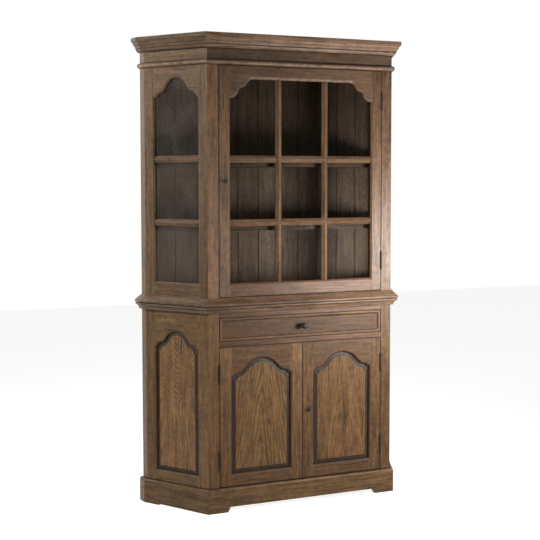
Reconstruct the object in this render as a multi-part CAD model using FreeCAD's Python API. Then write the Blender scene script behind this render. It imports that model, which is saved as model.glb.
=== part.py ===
import FreeCAD, Part
import math
import os

# Tall display cabinet on a canted plan: a plinth, a cupboard with two panelled doors and one
# drawer, a moulded waist board and a glazed upper part under a cornice. Every size is in
# millimetres. X points to the right, Y to the back and Z up; the origin lies on the floor
# under the middle of the cornice box.

# Plan of the carcase.
front_width = 976.0
cant_width = 173.0
cant_depth = 339.0
return_depth = 53.0
cornice_reach = 44.0
frame_thickness = 24.0
front_post_width = 55.0
lower_front_post_cant = 66.0
upper_front_post_cant = 56.0
rear_post_cant = 59.0
back_board_thickness = 10.0
back_board_pitch = 111.0
back_joint_x = -157.0
back_tongue_length = 6.0
back_tongue_thickness = 4.0
back_edge_bevel = 1.6
rear_rebate_lap = 12.0

# Heights of the storeys.
plinth_height = 113.5
lower_case_height = 844.5
waist_board_thickness = 40.0
upper_case_height = 1062.0
waist_moulding_height = 30.0
crown_height = 140.0
cornice_height = 66.6
cornice_cap_height = 15.0
bead_height = 24.0

# Gaps between pieces.
door_gap = 2.0
door_top_gap = 1.5
plate_gap = 0.3
fit_gap = 0.05
stop_gap = 0.5
margin = 2.0

# Plinth.
plinth_reach = 18.0
plinth_thickness = 28.0
plinth_round = 12.0
plinth_cut_height = 24.0
plinth_cut_half_floor = 398.5
plinth_cut_half_top = 387.0
side_foot_length = 87.0
side_foot_slope = 8.0
side_cut_height = 6.0
foot_block_thickness = 34.0
foot_block_length = 96.0
rear_rail_thickness = 24.0

# Waist board nose and the moulding under it: distances out from the face and down from the top.
nose_reach = 36.0
nose_slope_reach = 32.0
nose_slope_drop = 24.0
nose_upper_drop = 27.5
nose_lower_drop = 32.5
nose_under_drop = 36.5
nose_groove_reach = 27.0
waist_bottom_reach = 14.0
waist_cove_reach = 28.0
waist_cove_height = 21.0
waist_quirk = 2.5
waist_top_reach = 32.5

# Bead and cornice: distances out from the face and heights above the cornice foot.
bead_round_start = 2.5
soffit_reach = 6.0
ovolo_reach = 20.0
ovolo_height = 15.6
quirk_reach = 22.0
quirk_height = 16.8
cyma_middle_reach = 32.0
cyma_middle_height = 33.0
cyma_top_height = 50.0

# Doors in the lower case.
lower_door_thickness = 22.0
lower_door_low_gap = 1.5
lower_stile_width = 62.0
lower_sill_height = 60.0
lower_spring_drop = 142.0

# Raised panels.
groove_depth = 8.0
panel_set_back = 12.0
tongue_thickness = 5.5
panel_play = 0.6
bevel_width = 18.0
bevel_rise = 3.4
field_step = 1.6
sticking_width = 8.0
sticking_depth = 6.0

# Canted panels of the lower case.
side_sill_height = 54.5
side_spring_drop = 203.0
lower_rail_height = 24.0
drawer_space_height = 111.0
upper_rail_height = 52.0
rail_depth = 60.0
stop_strip_height = 12.0
stop_strip_depth = 14.0
floor_thickness = 20.0
shelf_thickness = 22.0
lower_shelf_front = 70.0

# Drawer.
drawer_front_low_gap = 1.5
drawer_front_thickness = 20.0
drawer_border_width = 10.0
drawer_border_bevel = 8.0
drawer_field_depth = 4.0
drawer_side_thickness = 12.0
drawer_side_inset = 4.0
drawer_back_space = 52.0
drawer_side_rise = 0.5
drawer_side_drop = 5.0
drawer_bottom_rise = 9.0
drawer_bottom_thickness = 6.0
drawer_groove = 4.0
dovetail_length = 12.0
dovetail_root = 14.0
dovetail_spread = 4.0
dovetail_pitch = 32.0
dovetail_low = 14.0
runner_width = 24.0
runner_height = 18.0
guide_height = 30.0
guide_width = 9.0
bearer_depth = 16.0
knob_stem_radius = 5.0
knob_rose_radius = 11.0
knob_rose_height = 3.0
knob_neck_radius = 6.0
knob_neck_height = 11.0
knob_head_radius = 15.0
knob_head_height = 24.0
knob_height = 35.0
knob_crown_radius = 7.0

# Glazed door and canted lights of the upper case.
glass_door_low_gap = 2.0
glass_stile_width = 57.0
glass_sill_height = 64.5
door_spring_drop = 150.0
cant_spring_drop = 141.0
bar_offset = 123.0
bar_half_width = 17.0
bar_ridge_depth = 1.5
bar_edge_depth = 12.0
glass_depth = 14.0
glass_thickness = 4.0
rebate_width = 8.0
glass_play = 1.0
upper_shelf_front = 40.0
shelf_clearance = 2.0
shelf_back_gap = 1.0
pin_radius = 3.0
pin_hole_depth = 10.0
pin_stand_out = 15.0
pin_front_place = 44.0
pin_rear_place = 30.0
case_top_thickness = 20.0
dust_board_thickness = 12.0
dust_board_drop = 17.0

# Tongues that join the frames.
tenon_length = 26.0
tenon_thickness = 7.0
tenon_set_back = 7.5
tenon_shoulder = 10.0

# Butt hinges.
hinge_height = 88.0
hinge_leaf_depth = 20.0
hinge_leaf_thickness = 2.0
hinge_leaf_gap = 0.4
hinge_barrel_radius = 4.5
hinge_pin_radius = 2.0
hinge_stand_out = 2.0
hinge_notch_gap = 0.5
hinge_knuckles = 5
hinge_knuckle_gap = 0.3
hinge_tab = 3.0
glass_hinge_end = 103.0
lower_hinge_end = 82.0

# Locks and keys.
lock_backset = 30.0
lock_width = 42.0
lock_depth = 6.0
lock_thickness = 10.0
lock_low = 14.0
lock_high = 18.0
lock_wall = 1.5
plate_thickness = 2.0
plate_low = 24.0
plate_high = 28.0
bolt_low = 3.4
bolt_height = 8.0
bolt_tail = 10.0
bolt_clearance = 0.3
bolt_travel = 8.0
bit_reach = 5.66
bit_thickness = 1.5
notch_width = 5.4
notch_height = 3.0
key_shaft_radius = 2.3
key_end_depth = 15.4
key_collar_radius = 3.6
key_collar_depth = 5.0
key_collar_length = 2.0
key_neck_depth = 10.0
bow_radius = 8.0
bow_wire_radius = 1.7
keyhole_radius = 3.2
keyhole_slot_width = 2.8
keyhole_slot_length = 9.0
plate_oval_height = 37.0
plate_oval_width = 19.0
plate_oval_thickness = 2.0
plate_oval_bevel = 2.0

# Round stretches are given as the height of the bow over its chord.
bead_round_share = 0.5
quarter_round_share = 0.207
soft_bow_share = 0.14
crown_height_share = 0.3
lower_shelf_share = 0.4966
upper_shelf_shares = (0.2863, 0.5659)
bar_height_shares = (0.2782, 0.5729)
upper_key_share = 0.5047
lower_key_share = 0.5073
quarter_turn = 90.0

# Derived places.
front_half = front_width / 2
case_half = front_half + cant_width
case_depth = cant_depth + return_depth
front_y = (cornice_reach - case_depth) / 2
back_y = front_y + case_depth
cant_back_y = front_y + cant_depth
cant_length = math.hypot(cant_width, cant_depth)
cant_across_share = cant_depth / cant_length
cant_along_share = cant_width / cant_length
cant_turn = math.degrees(math.atan2(cant_depth, cant_width))
inner_back_y = back_y - back_board_thickness
opening_half = front_half - front_post_width
drawer_length = case_depth - back_board_thickness - drawer_back_space
lower_top = plinth_height + lower_case_height
waist_top = lower_top + waist_board_thickness
upper_top = waist_top + upper_case_height
total_height = upper_top + crown_height
cornice_low = total_height - cornice_height
frieze_top = total_height - cornice_cap_height
leaf_half = opening_half - door_gap
half_gap = door_gap / 2
lower_leaf_width = leaf_half - half_gap
glass_door_low = waist_top + glass_door_low_gap
glass_door_high = upper_top - door_top_gap
upper_sill_top = waist_top + glass_sill_height
door_spring_level = upper_top - door_spring_drop
cant_spring_level = upper_top - cant_spring_drop
upper_light_space = upper_top - upper_sill_top
bar_levels = [upper_sill_top + share * upper_light_space for share in bar_height_shares]
upper_shelf_levels = [waist_top + share * upper_case_height for share in upper_shelf_shares]
upper_rail_low = lower_top - upper_rail_height
lower_rail_top = upper_rail_low - drawer_space_height
lower_rail_low = lower_rail_top - lower_rail_height
lower_door_low = plinth_height + lower_door_low_gap
lower_door_high = lower_rail_low - door_top_gap
lower_spring_level = lower_rail_low - lower_spring_drop
side_sill_top = plinth_height + side_sill_height
side_spring_level = lower_top - side_spring_drop
lower_shelf_level = plinth_height + lower_shelf_share * (lower_rail_low - plinth_height)
knob_level = (lower_rail_top + upper_rail_low) / 2
glass_door_height = glass_door_high - glass_door_low
lower_door_height = lower_door_high - lower_door_low
upper_key_level = glass_door_low + upper_key_share * glass_door_height
lower_key_level = lower_door_low + lower_key_share * lower_door_height
glass_hinge_lows = (glass_door_low + glass_hinge_end, glass_door_high - glass_hinge_end - hinge_height)
lower_hinge_lows = (lower_door_low + lower_hinge_end, lower_door_high - lower_hinge_end - hinge_height)

# Shaped tops, listed from the side inwards. The first two numbers are how far in and how far
# up a point lies, as shares of a named size; then the bow of the stretch that ends there, and
# the shares of an inset that move the point in and down.
scallop_size = 109.0
door_scallop_shares = (
    (0.0, 0.0, 0.0, 1.0, 1.0),
    (0.43, 0.39, 0.19, 1.0, 0.6),
    (0.55, 0.435, 0.0, 0.5, 1.0),
    (0.77, 0.58, 0.1, 0.8, 0.7),
    (1.06, 0.81, -0.14, 0.5, 1.0),
)
door_arch_size = 50.0
door_arch_shares = (
    (0.0, 0.0, 0.0, 1.0, 1.0),
    (0.16, 0.0, 0.0, 1.0, 1.0),
    (0.7, 0.3, -0.14, 0.34, 0.94),
    (0.96, 0.4, 0.0, 0.52, 0.88),
    (1.72, 1.14, 0.02, 0.67, 0.74),
)
side_arch_size = 46.0
light_arch_size = 50.0
side_arch_shares = (
    (0.0, 0.0, 0.0, 1.0, 1.0),
    (0.2, 0.0, 0.0, 1.0, 1.0),
    (0.76, 0.44, -0.15, 0.3, 0.95),
    (1.08, 0.54, 0.0, 0.61, 0.86),
    (1.52, 1.14, 0.02, 0.82, 0.57),
)
door_crown_share = -0.172
side_crown_share = -0.212
light_crown_share = -0.273


def vector(x, y, z):
    return FreeCAD.Vector(x, y, z)


def front_corner(reach):
    """Plan point where the front meets the right canted face, this far out from the case."""
    return (front_half + reach * (1 - cant_along_share) / cant_across_share, front_y - reach)


def rear_corner(reach):
    """Plan point where the right canted face meets the return, this far out from the case."""
    return (case_half + reach, cant_back_y - reach * (1 - cant_across_share) / cant_along_share)


def cant_point(along, depth):
    """Plan point on the right canted face, measured from the front corner and inwards."""
    x = front_half + along * cant_along_share - depth * cant_across_share
    y = front_y + along * cant_across_share + depth * cant_along_share
    return (x, y)


def cant_x(reach, y):
    """X of the right canted line, this far out from the case, at a given Y."""
    return front_half + (reach + (y - front_y) * cant_along_share) / cant_across_share


def path_edges(points):
    """Closed run of edges; a third value bows the stretch that ends at the point."""
    edges = []
    starts = points[-1:] + points[:-1]
    for start, end in zip(starts, points):
        begin = vector(start[0], start[1], 0)
        finish = vector(end[0], end[1], 0)
        bow_share = end[2] if len(end) > 2 else 0
        if bow_share == 0:
            edges.append(Part.LineSegment(begin, finish).toShape())
        else:
            chord = finish - begin
            middle = (begin + finish) * 0.5 + vector(-chord.y, chord.x, 0) * bow_share
            edges.append(Part.Arc(begin, middle, finish).toShape())
    return edges[1:] + edges[:1]


def solid_of(shape):
    """The same solid, turned so that its skin faces outwards."""
    if shape.Volume < 0:
        shape.reverse()
    return shape


def plan_solid(points, low, high):
    """Solid with a plan outline between two heights."""
    wire = Part.Wire(path_edges(points))
    wire.translate(vector(0, 0, low))
    return solid_of(Part.Face(wire).extrude(vector(0, 0, high - low)))


def upright_wire(points, depth):
    """Outline in width and height, stood up at a depth."""
    wire = Part.Wire(path_edges(points))
    turn = FreeCAD.Rotation(vector(1, 0, 0), quarter_turn)
    wire.Placement = FreeCAD.Placement(vector(0, depth, 0), turn)
    return wire


def board(points, near, far):
    """Solid with an upright outline between two depths."""
    return solid_of(Part.Face(upright_wire(points, near)).extrude(vector(0, far - near, 0)))


def taper(near_points, near, far_points, far):
    """Solid whose upright outline changes in a straight line between two depths."""
    wires = [upright_wire(near_points, near), upright_wire(far_points, far)]
    return solid_of(Part.makeLoft(wires, True, True))


def block(left, right, near, far, low, high):
    """Plain box between two places on each axis."""
    return Part.makeBox(right - left, far - near, high - low, vector(left, near, low))


def rod(radius, x, y, z, length, direction):
    """Round bar that starts at a point and runs along a direction."""
    return Part.makeCylinder(radius, length, vector(x, y, z), direction)


def rectangle(left, right, low, high):
    return [(left, low), (right, low), (right, high), (left, high)]


def grown(outline, amount):
    """Rectangle given as left, right, low and high, grown on every side."""
    left, right, low, high = outline
    return (left - amount, right + amount, low - amount, high + amount)


def shaped_opening(left, right, low, spring, steps, crown_share, inset):
    """Outline with a shaped top, the same on both sides, drawn in by an inset."""
    rising = []
    for step_in, step_up, bow_share, in_share, down_share in steps:
        x = right - step_in - inset * in_share
        z = spring + step_up - inset * down_share
        rising.append((x, z, bow_share))
    bows = [crown_share] + [point[2] for point in reversed(rising)]
    falling = []
    for point, bow_share in zip(reversed(rising), bows):
        falling.append((left + right - point[0], point[1], bow_share))
    foot = [(left + inset, low + inset), (right - inset, low + inset)]
    return foot + rising + falling


def steps_of(size, shares):
    """Places of a shaped top from its table of shares."""
    return [(row[0] * size, row[1] * size) + row[2:] for row in shares]


def joined(shapes):
    """One solid made from touching or crossing pieces."""
    first = shapes[0]
    if len(shapes) == 1:
        return first
    return first.fuse(shapes[1:]).removeSplitter()


def cut_by(shape, cutters):
    return shape.cut(cutters) if cutters else shape


def on_front(shape):
    """Moves a piece from face places, with depth as Y, to the front of the case."""
    placed = shape.copy()
    placed.translate(vector(0, front_y, 0))
    return placed


def on_cant(shape):
    """Moves a piece from face places to the right canted face."""
    placed = shape.copy()
    turn = FreeCAD.Rotation(vector(0, 0, 1), cant_turn)
    place = FreeCAD.Placement(vector(front_half, front_y, 0), turn)
    placed.Placement = place.multiply(placed.Placement)
    return placed


def mirrored(shape):
    return shape.mirror(vector(0, 0, 0), vector(1, 0, 0))


def pair(shape):
    """A piece and its mirror image on the other side of the cabinet."""
    return [shape, mirrored(shape)]


def save(name, shapes):
    """Writes the solids of one sub-part."""
    solids = []
    for shape in shapes:
        solids.extend(shape.Solids)
    whole = solids[0] if len(solids) == 1 else Part.makeCompound(solids)
    whole.exportStep("parts/" + name + ".step")


def profile_length(profile, along_x, along_y, start, length):
    """Extrudes a profile of reach and height along a face, from a point in plan."""
    wire = Part.Wire(path_edges(profile))
    # The profile's first axis points out of the face, its second one up.
    outward = vector(along_y, -along_x, 0)
    turn = FreeCAD.Rotation(outward, vector(0, 0, 1), vector(along_x, along_y, 0) * -1, "XYZ")
    wire.Placement = FreeCAD.Placement(vector(start[0], start[1], 0), turn)
    return solid_of(Part.Face(wire).extrude(vector(along_x, along_y, 0) * length))


def mitred_run(profile, low, high, faces=("front", "cant", "return")):
    """Lengths of a moulding round the case, mitred at each corner of the plan."""
    bounds = Part.Wire(path_edges(profile)).BoundBox
    inner = bounds.XMin - margin
    outer = bounds.XMax + margin
    lengths = []
    if "front" in faces:
        start = (-case_half, front_y)
        bar = profile_length(profile, 1, 0, start, case_half * 2)
        right_in = front_corner(inner)
        right_out = front_corner(outer)
        sector = [(-right_out[0], right_out[1]), right_out, right_in, (-right_in[0], right_in[1])]
        lengths.append(bar.common(plan_solid(sector, low - margin, high + margin)))
    if "cant" in faces:
        start = cant_point(-cant_length, 0)
        bar = profile_length(profile, cant_along_share, cant_across_share, start, cant_length * 3)
        sector = [front_corner(inner), front_corner(outer), rear_corner(outer), rear_corner(inner)]
        lengths.extend(pair(bar.common(plan_solid(sector, low - margin, high + margin))))
    if "return" in faces:
        start = (case_half, front_y)
        bar = profile_length(profile, 0, 1, start, case_depth)
        back_outer = (case_half + outer, back_y)
        back_inner = (case_half + inner, back_y)
        sector = [rear_corner(inner), rear_corner(outer), back_outer, back_inner]
        lengths.extend(pair(bar.common(plan_solid(sector, low - margin, high + margin))))
    return lengths


def mitred_frame(outer, inner, near, far):
    """Four lengths of bead, mitred round a rectangular light."""
    left, right, low, high = outer
    in_left, in_right, in_low, in_high = inner
    sides = (
        [(left, low), (right, low), (in_right, in_low), (in_left, in_low)],
        [(right, low), (right, high), (in_right, in_high), (in_right, in_low)],
        [(right, high), (left, high), (in_left, in_high), (in_right, in_high)],
        [(left, high), (left, low), (in_left, in_low), (in_left, in_high)],
    )
    return [board(side, near, far) for side in sides]


def inside_outline(reach, front_place, back_place):
    """Plan outline of a board inside the case, cut off at a front and a back place."""
    right_front = (cant_x(reach, front_place), front_place)
    corner = rear_corner(reach)
    right_back = (case_half + reach, back_place)
    points = [right_front, corner, right_back]
    return points + [(-x, y) for x, y in reversed(points)]



def plinth_profile():
    """Upright profile of the plinth board with its rounded top edge."""
    inner = plinth_reach - plinth_thickness
    return [
        (inner, 0),
        (plinth_reach, 0),
        (plinth_reach, plinth_height - plinth_round),
        (plinth_reach - plinth_round, plinth_height, -quarter_round_share),
        (inner, plinth_height),
    ]


def plinth_front():
    boards = mitred_run(plinth_profile(), 0, plinth_height, ("front",))
    cut = [
        (-plinth_cut_half_floor, -margin),
        (plinth_cut_half_floor, -margin),
        (plinth_cut_half_floor, 0),
        (plinth_cut_half_top, plinth_cut_height),
        (-plinth_cut_half_top, plinth_cut_height),
        (-plinth_cut_half_floor, 0),
    ]
    notch = on_front(board(cut, -plinth_reach - margin, plinth_thickness))
    return [piece.cut(notch) for piece in boards]


def plinth_sides():
    boards = mitred_run(plinth_profile(), 0, plinth_height, ("cant", "return"))
    slope_end = cant_length - side_foot_length
    slope_start = slope_end - side_foot_slope
    cut = [(0, 0), (0, -margin), (slope_end, -margin), (slope_end, 0), (slope_start, side_cut_height)]
    notch = on_cant(board(cut, -plinth_reach - margin, plinth_thickness))
    return [cut_by(piece, [notch, mirrored(notch)]) for piece in boards]


def plinth_inner_frame():
    """Foot blocks behind the plinth boards, and the rail across the back."""
    outer = plinth_reach - plinth_thickness
    inner = outer - foot_block_thickness
    across = front_corner(outer)[0] - foot_block_length + (plinth_reach - outer)
    front_block = plan_solid(
        [
            (across, front_y - outer),
            front_corner(outer),
            cant_point(foot_block_length, -outer),
            cant_point(foot_block_length, -inner),
            front_corner(inner),
            (across, front_y - inner),
        ],
        0,
        plinth_height,
    )
    rear_block = plan_solid(
        [
            cant_point(cant_length - foot_block_length, -outer),
            rear_corner(outer),
            (case_half + outer, back_y),
            (case_half + inner, back_y),
            rear_corner(inner),
            cant_point(cant_length - foot_block_length, -inner),
        ],
        0,
        plinth_height,
    )
    rail_end = case_half + inner
    rail = block(-rail_end, rail_end, back_y - rear_rail_thickness, back_y, plinth_cut_height, plinth_height)
    return pair(front_block) + pair(rear_block) + [rail]


def floor_outline(front_depth):
    """Plan of a floor that fills the case behind the doors."""
    inner = -frame_thickness
    corner = front_corner(inner)
    points = [
        (opening_half, front_y + front_depth),
        (opening_half, front_y + frame_thickness),
        corner,
        rear_corner(inner),
        (case_half + inner, inner_back_y),
    ]
    return points + [(-x, y) for x, y in reversed(points)]


def lower_floor():
    outline = floor_outline(lower_door_thickness + stop_gap)
    return [plan_solid(outline, plinth_height, plinth_height + floor_thickness)]


def front_post_blank(cant_width, low, high):
    """Corner post bent round the meeting of the front and the canted face."""
    across = opening_half
    points = [
        (across, front_y),
        front_corner(0),
        cant_point(cant_width, 0),
        cant_point(cant_width, frame_thickness),
        front_corner(-frame_thickness),
        (across, front_y + frame_thickness),
    ]
    return plan_solid(points, low, high)


def rear_post_blank(low, high):
    """Corner post bent round the meeting of the canted face and the return."""
    along = cant_length - rear_post_cant
    lap = case_half - rear_rebate_lap
    points = [
        cant_point(along, 0),
        rear_corner(0),
        (case_half, back_y),
        (lap, back_y),
        (lap, inner_back_y),
        (case_half - frame_thickness, inner_back_y),
        rear_corner(-frame_thickness),
        cant_point(along, frame_thickness),
    ]
    return plan_solid(points, low, high)


def tenon(end, toward, low, high, gap):
    """Tongue on the end of a rail; the socket is the same with a gap added."""
    far = end + toward * (tenon_length + gap)
    near_depth = tenon_set_back - gap
    far_depth = tenon_set_back + tenon_thickness + gap
    return block(min(end, far), max(end, far), near_depth, far_depth, low - gap, high + gap)


def tenon_span(low, high):
    """Heights of the tongue on a rail, with a shoulder above and below."""
    return (low + tenon_shoulder, high - tenon_shoulder)


def railed(blank, left, right, low, high):
    """A rail with a tongue at both ends."""
    span = tenon_span(low, high)
    return joined([blank, tenon(left, -1, span[0], span[1], 0), tenon(right, 1, span[0], span[1], 0)])


def sockets(left, right, rails):
    """Sockets for the tongues of several rails, given as low and high places."""
    cutters = []
    for low, high in rails:
        span = tenon_span(low, high)
        cutters.append(tenon(left, -1, span[0], span[1], fit_gap))
        cutters.append(tenon(right, 1, span[0], span[1], fit_gap))
    return cutters


class PanelFrame:
    """Shaped opening in a frame, with what is cut for it and what fills it."""

    def __init__(self, left, right, low, spring, steps, crown_share):
        self.left = left
        self.right = right
        self.low = low
        self.spring = spring
        self.steps = steps
        self.crown_share = crown_share

    def outline(self, inset):
        return shaped_opening(
            self.left, self.right, self.low, self.spring, self.steps, self.crown_share, inset
        )

    def hole(self, depth):
        """The opening itself, right through the frame."""
        return board(self.outline(0), -margin, depth + margin)

    def edge_cutter(self):
        """Bevel round the front of the opening."""
        share = margin / sticking_depth
        front = self.outline(-sticking_width * (1 + share))
        back = self.outline(0)
        return taper(front, -margin, back, sticking_depth)

    def groove(self):
        """Groove in the frame for the tongue of the panel."""
        near = panel_set_back - fit_gap
        far = panel_set_back + tongue_thickness + fit_gap
        return board(self.outline(-groove_depth), near, far)

    def panel(self):
        """Raised and fielded panel with a tongue all round."""
        tongue_far = panel_set_back + tongue_thickness
        tongue = board(self.outline(panel_play - groove_depth), panel_set_back, tongue_far)
        rise_depth = panel_set_back - bevel_rise
        rise = taper(self.outline(bevel_width), rise_depth, self.outline(fit_gap), panel_set_back)
        field = board(self.outline(bevel_width + field_step), rise_depth - field_step, tongue_far)
        return joined([tongue, rise, field])


lower_side_frame = PanelFrame(
    lower_front_post_cant,
    cant_length - rear_post_cant,
    side_sill_top,
    side_spring_level,
    steps_of(side_arch_size, side_arch_shares),
    side_crown_share,
)


def side_head():
    left = lower_side_frame.left
    right = lower_side_frame.right
    blank = block(left, right, 0, frame_thickness, lower_side_frame.spring, lower_top)
    cutters = [lower_side_frame.hole(frame_thickness), lower_side_frame.edge_cutter(), lower_side_frame.groove()]
    shaped = blank.cut(cutters)
    arch_top = side_spring_level + (right - left) / 2
    return railed(shaped, left, right, arch_top, lower_top)


def side_sill():
    left = lower_side_frame.left
    right = lower_side_frame.right
    blank = block(left, right, 0, frame_thickness, plinth_height, side_sill_top)
    shaped = blank.cut([lower_side_frame.edge_cutter(), lower_side_frame.groove()])
    return railed(shaped, left, right, plinth_height, side_sill_top - groove_depth)


def lower_side_cutters():
    """Everything that is cut from the lower posts on a canted face, in face places."""
    left = lower_side_frame.left
    right = lower_side_frame.right
    arch_top = side_spring_level + (right - left) / 2
    rails = ((arch_top, lower_top), (plinth_height, side_sill_top - groove_depth))
    cutters = [lower_side_frame.edge_cutter(), lower_side_frame.groove()]
    return cutters + sockets(left, right, rails)


def shelf_pins(shelf_low, grow):
    """Four pins under a shelf; with a grown radius they are the holes."""
    pins = []
    inward = vector(-cant_across_share, cant_along_share, 0)
    for along in (pin_front_place, cant_length - pin_rear_place):
        start = cant_point(along, frame_thickness - pin_hole_depth)
        length = pin_hole_depth + pin_stand_out
        height = shelf_low - pin_radius
        pin = rod(pin_radius + grow, start[0], start[1], height, length, inward)
        pins.extend(pair(pin))
    return pins


def front_rail_sockets():
    rails = (
        (lower_rail_low - tenon_shoulder / 2, lower_rail_top + tenon_shoulder / 2),
        (upper_rail_low, lower_top),
    )
    return sockets(-opening_half, opening_half, rails)


def lower_front_posts():
    blank = front_post_blank(lower_front_post_cant, plinth_height, lower_top)
    cutters = [on_cant(piece) for piece in lower_side_cutters()]
    cutters += [on_front(piece) for piece in front_rail_sockets()]
    cutters += shelf_pins(lower_shelf_level, fit_gap)
    post = blank.cut(cutters)
    recesses = []
    for low in lower_hinge_lows:
        recesses += hinge_recesses(opening_half - half_gap, low, 1)
    right_post = post.cut(recesses)
    return pair(right_post)


def lower_rear_posts():
    blank = rear_post_blank(plinth_height, lower_top)
    cutters = [on_cant(piece) for piece in lower_side_cutters()]
    cutters += shelf_pins(lower_shelf_level, fit_gap)
    return pair(blank.cut(cutters))


def front_rails():
    """Rail over the doors, rail over the drawer and the strip that the doors close against."""
    left = -opening_half
    right = opening_half
    lower_blank = block(left, right, 0, rail_depth, lower_rail_low, lower_rail_top)
    low = lower_rail_low - tenon_shoulder / 2
    high = lower_rail_top + tenon_shoulder / 2
    lower_rail = railed(lower_blank, left, right, low, high)
    upper_blank = block(left, right, 0, frame_thickness, upper_rail_low, lower_top)
    upper_rail = railed(upper_blank, left, right, upper_rail_low, lower_top)
    strip_near = lower_door_thickness + stop_gap
    strip_far = strip_near + stop_strip_depth
    strip = block(left, right, strip_near, strip_far, lower_rail_low - stop_strip_height, lower_rail_low)
    return [on_front(piece) for piece in (lower_rail, upper_rail, strip)]


def back_boards(low, high):
    """Upright boards with a tongue on one edge, a groove on the other and eased front edges."""
    end = case_half - rear_rebate_lap
    first = back_joint_x
    while first - back_board_pitch > -end + back_tongue_length:
        first -= back_board_pitch
    edges = [-end]
    while first < end - back_tongue_length * 2:
        edges.append(first)
        first += back_board_pitch
    edges.append(end)
    tongue_near = inner_back_y + (back_board_thickness - back_tongue_thickness) / 2
    tongue_far = tongue_near + back_tongue_thickness
    boards = []
    for left, right in zip(edges, edges[1:]):
        points = [
            (left + back_edge_bevel, inner_back_y),
            (right - back_edge_bevel, inner_back_y),
            (right, inner_back_y + back_edge_bevel),
            (right, back_y),
            (left, back_y),
            (left, inner_back_y + back_edge_bevel),
        ]
        shape = plan_solid(points, low, high)
        if right < end:
            tongue = block(right, right + back_tongue_length, tongue_near, tongue_far, low, high)
            shape = joined([shape, tongue])
        if left > -end:
            near = tongue_near - fit_gap
            groove_end = left + back_tongue_length + plate_gap
            groove = block(left - margin, groove_end, near, tongue_far + fit_gap, low - margin, high + margin)
            shape = shape.cut(groove)
        boards.append(shape)
    return boards


def shelf(low, front_place):
    outline = inside_outline(-frame_thickness - shelf_clearance, front_place, inner_back_y - shelf_back_gap)
    return plan_solid(outline, low, low + shelf_thickness)


def hinge_axis_y():
    return front_y - hinge_stand_out


def knuckle_spans(low):
    """Heights of the knuckles of a hinge, from the bottom up."""
    free = hinge_height - hinge_knuckle_gap * (hinge_knuckles - 1)
    length = free / hinge_knuckles
    return [(low + number * (length + hinge_knuckle_gap), length) for number in range(hinge_knuckles)]


def hinge_leaf(axis_x, low, toward, holds_pin):
    """One leaf of a butt hinge on the side of the axis that it points to."""
    axis_y = hinge_axis_y()
    near_x = axis_x + toward * hinge_leaf_gap / 2
    far_x = near_x + toward * hinge_leaf_thickness
    left = min(near_x, far_x)
    right = max(near_x, far_x)
    plate_near = axis_y + hinge_barrel_radius + hinge_notch_gap
    plate_far = front_y + hinge_leaf_depth
    pieces = [block(left, right, plate_near, plate_far, low, low + hinge_height)]
    first = 0 if holds_pin else 1
    up = vector(0, 0, 1)
    for foot, length in knuckle_spans(low)[first::2]:
        pieces.append(rod(hinge_barrel_radius, axis_x, axis_y, foot, length, up))
        pieces.append(block(left, right, axis_y + hinge_tab, plate_near, foot, foot + length))
    if holds_pin:
        pieces.append(rod(hinge_pin_radius, axis_x, axis_y, low, hinge_height, up))
        return joined(pieces)
    bore = rod(hinge_pin_radius + fit_gap, axis_x, axis_y, low - margin, hinge_height + margin * 2, up)
    return joined(pieces).cut(bore)


def hinge_recesses(axis_x, low, toward):
    """Room for one leaf and for the barrel, cut from a post or a stile."""
    axis_y = hinge_axis_y()
    far_x = axis_x + toward * (hinge_leaf_gap / 2 + hinge_leaf_thickness)
    left = min(axis_x, far_x)
    right = max(axis_x, far_x)
    foot = low - fit_gap
    top = low + hinge_height + fit_gap
    leaf = block(left, right, axis_y, front_y + hinge_leaf_depth + fit_gap, foot, top)
    radius = hinge_barrel_radius + hinge_notch_gap
    start = low - hinge_notch_gap
    barrel = rod(radius, axis_x, axis_y, start, hinge_height + hinge_notch_gap * 2, vector(0, 0, 1))
    return [leaf, barrel]


def hinge_leaves(axis_x, lows, toward, holds_pin):
    return [hinge_leaf(axis_x, low, toward, holds_pin) for low in lows]


def case_hinge_leaves():
    axis_x = opening_half - half_gap
    leaves = hinge_leaves(axis_x, glass_hinge_lows + lower_hinge_lows, 1, True)
    return leaves + hinge_leaves(-axis_x, lower_hinge_lows, -1, True)


def oval(x, z, width, height):
    """Upright oval wire lying on the front of the case."""
    curve = Part.Ellipse(vector(0, 0, 0), height / 2, width / 2)
    wire = Part.Wire(curve.toShape())
    turn = FreeCAD.Rotation(vector(0, 0, 1), vector(1, 0, 0), vector(0, 1, 0), "XYZ")
    wire.Placement = FreeCAD.Placement(vector(x, front_y, z), turn)
    return wire


def keyhole_cutter(x, z, near, far, radius):
    """Round hole with a slot under it, along the depth."""
    hole = rod(radius, x, front_y + near, z, far - near, vector(0, 1, 0))
    half = keyhole_slot_width / 2
    slot = block(x - half, x + half, front_y + near, front_y + far, z - keyhole_slot_length, z)
    return joined([hole, slot])


def escutcheon(key_x, key_z):
    """Oval keyhole plate with a sloping rim."""
    foot = oval(key_x, key_z, plate_oval_width, plate_oval_height)
    bevel = plate_oval_bevel * 2
    face = oval(key_x, key_z, plate_oval_width - bevel, plate_oval_height - bevel)
    face.translate(vector(0, -plate_oval_thickness, 0))
    body = solid_of(Part.makeLoft([foot, face], True, True))
    return body.cut(keyhole_cutter(key_x, key_z, -plate_oval_thickness - margin, margin, keyhole_radius))


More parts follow.
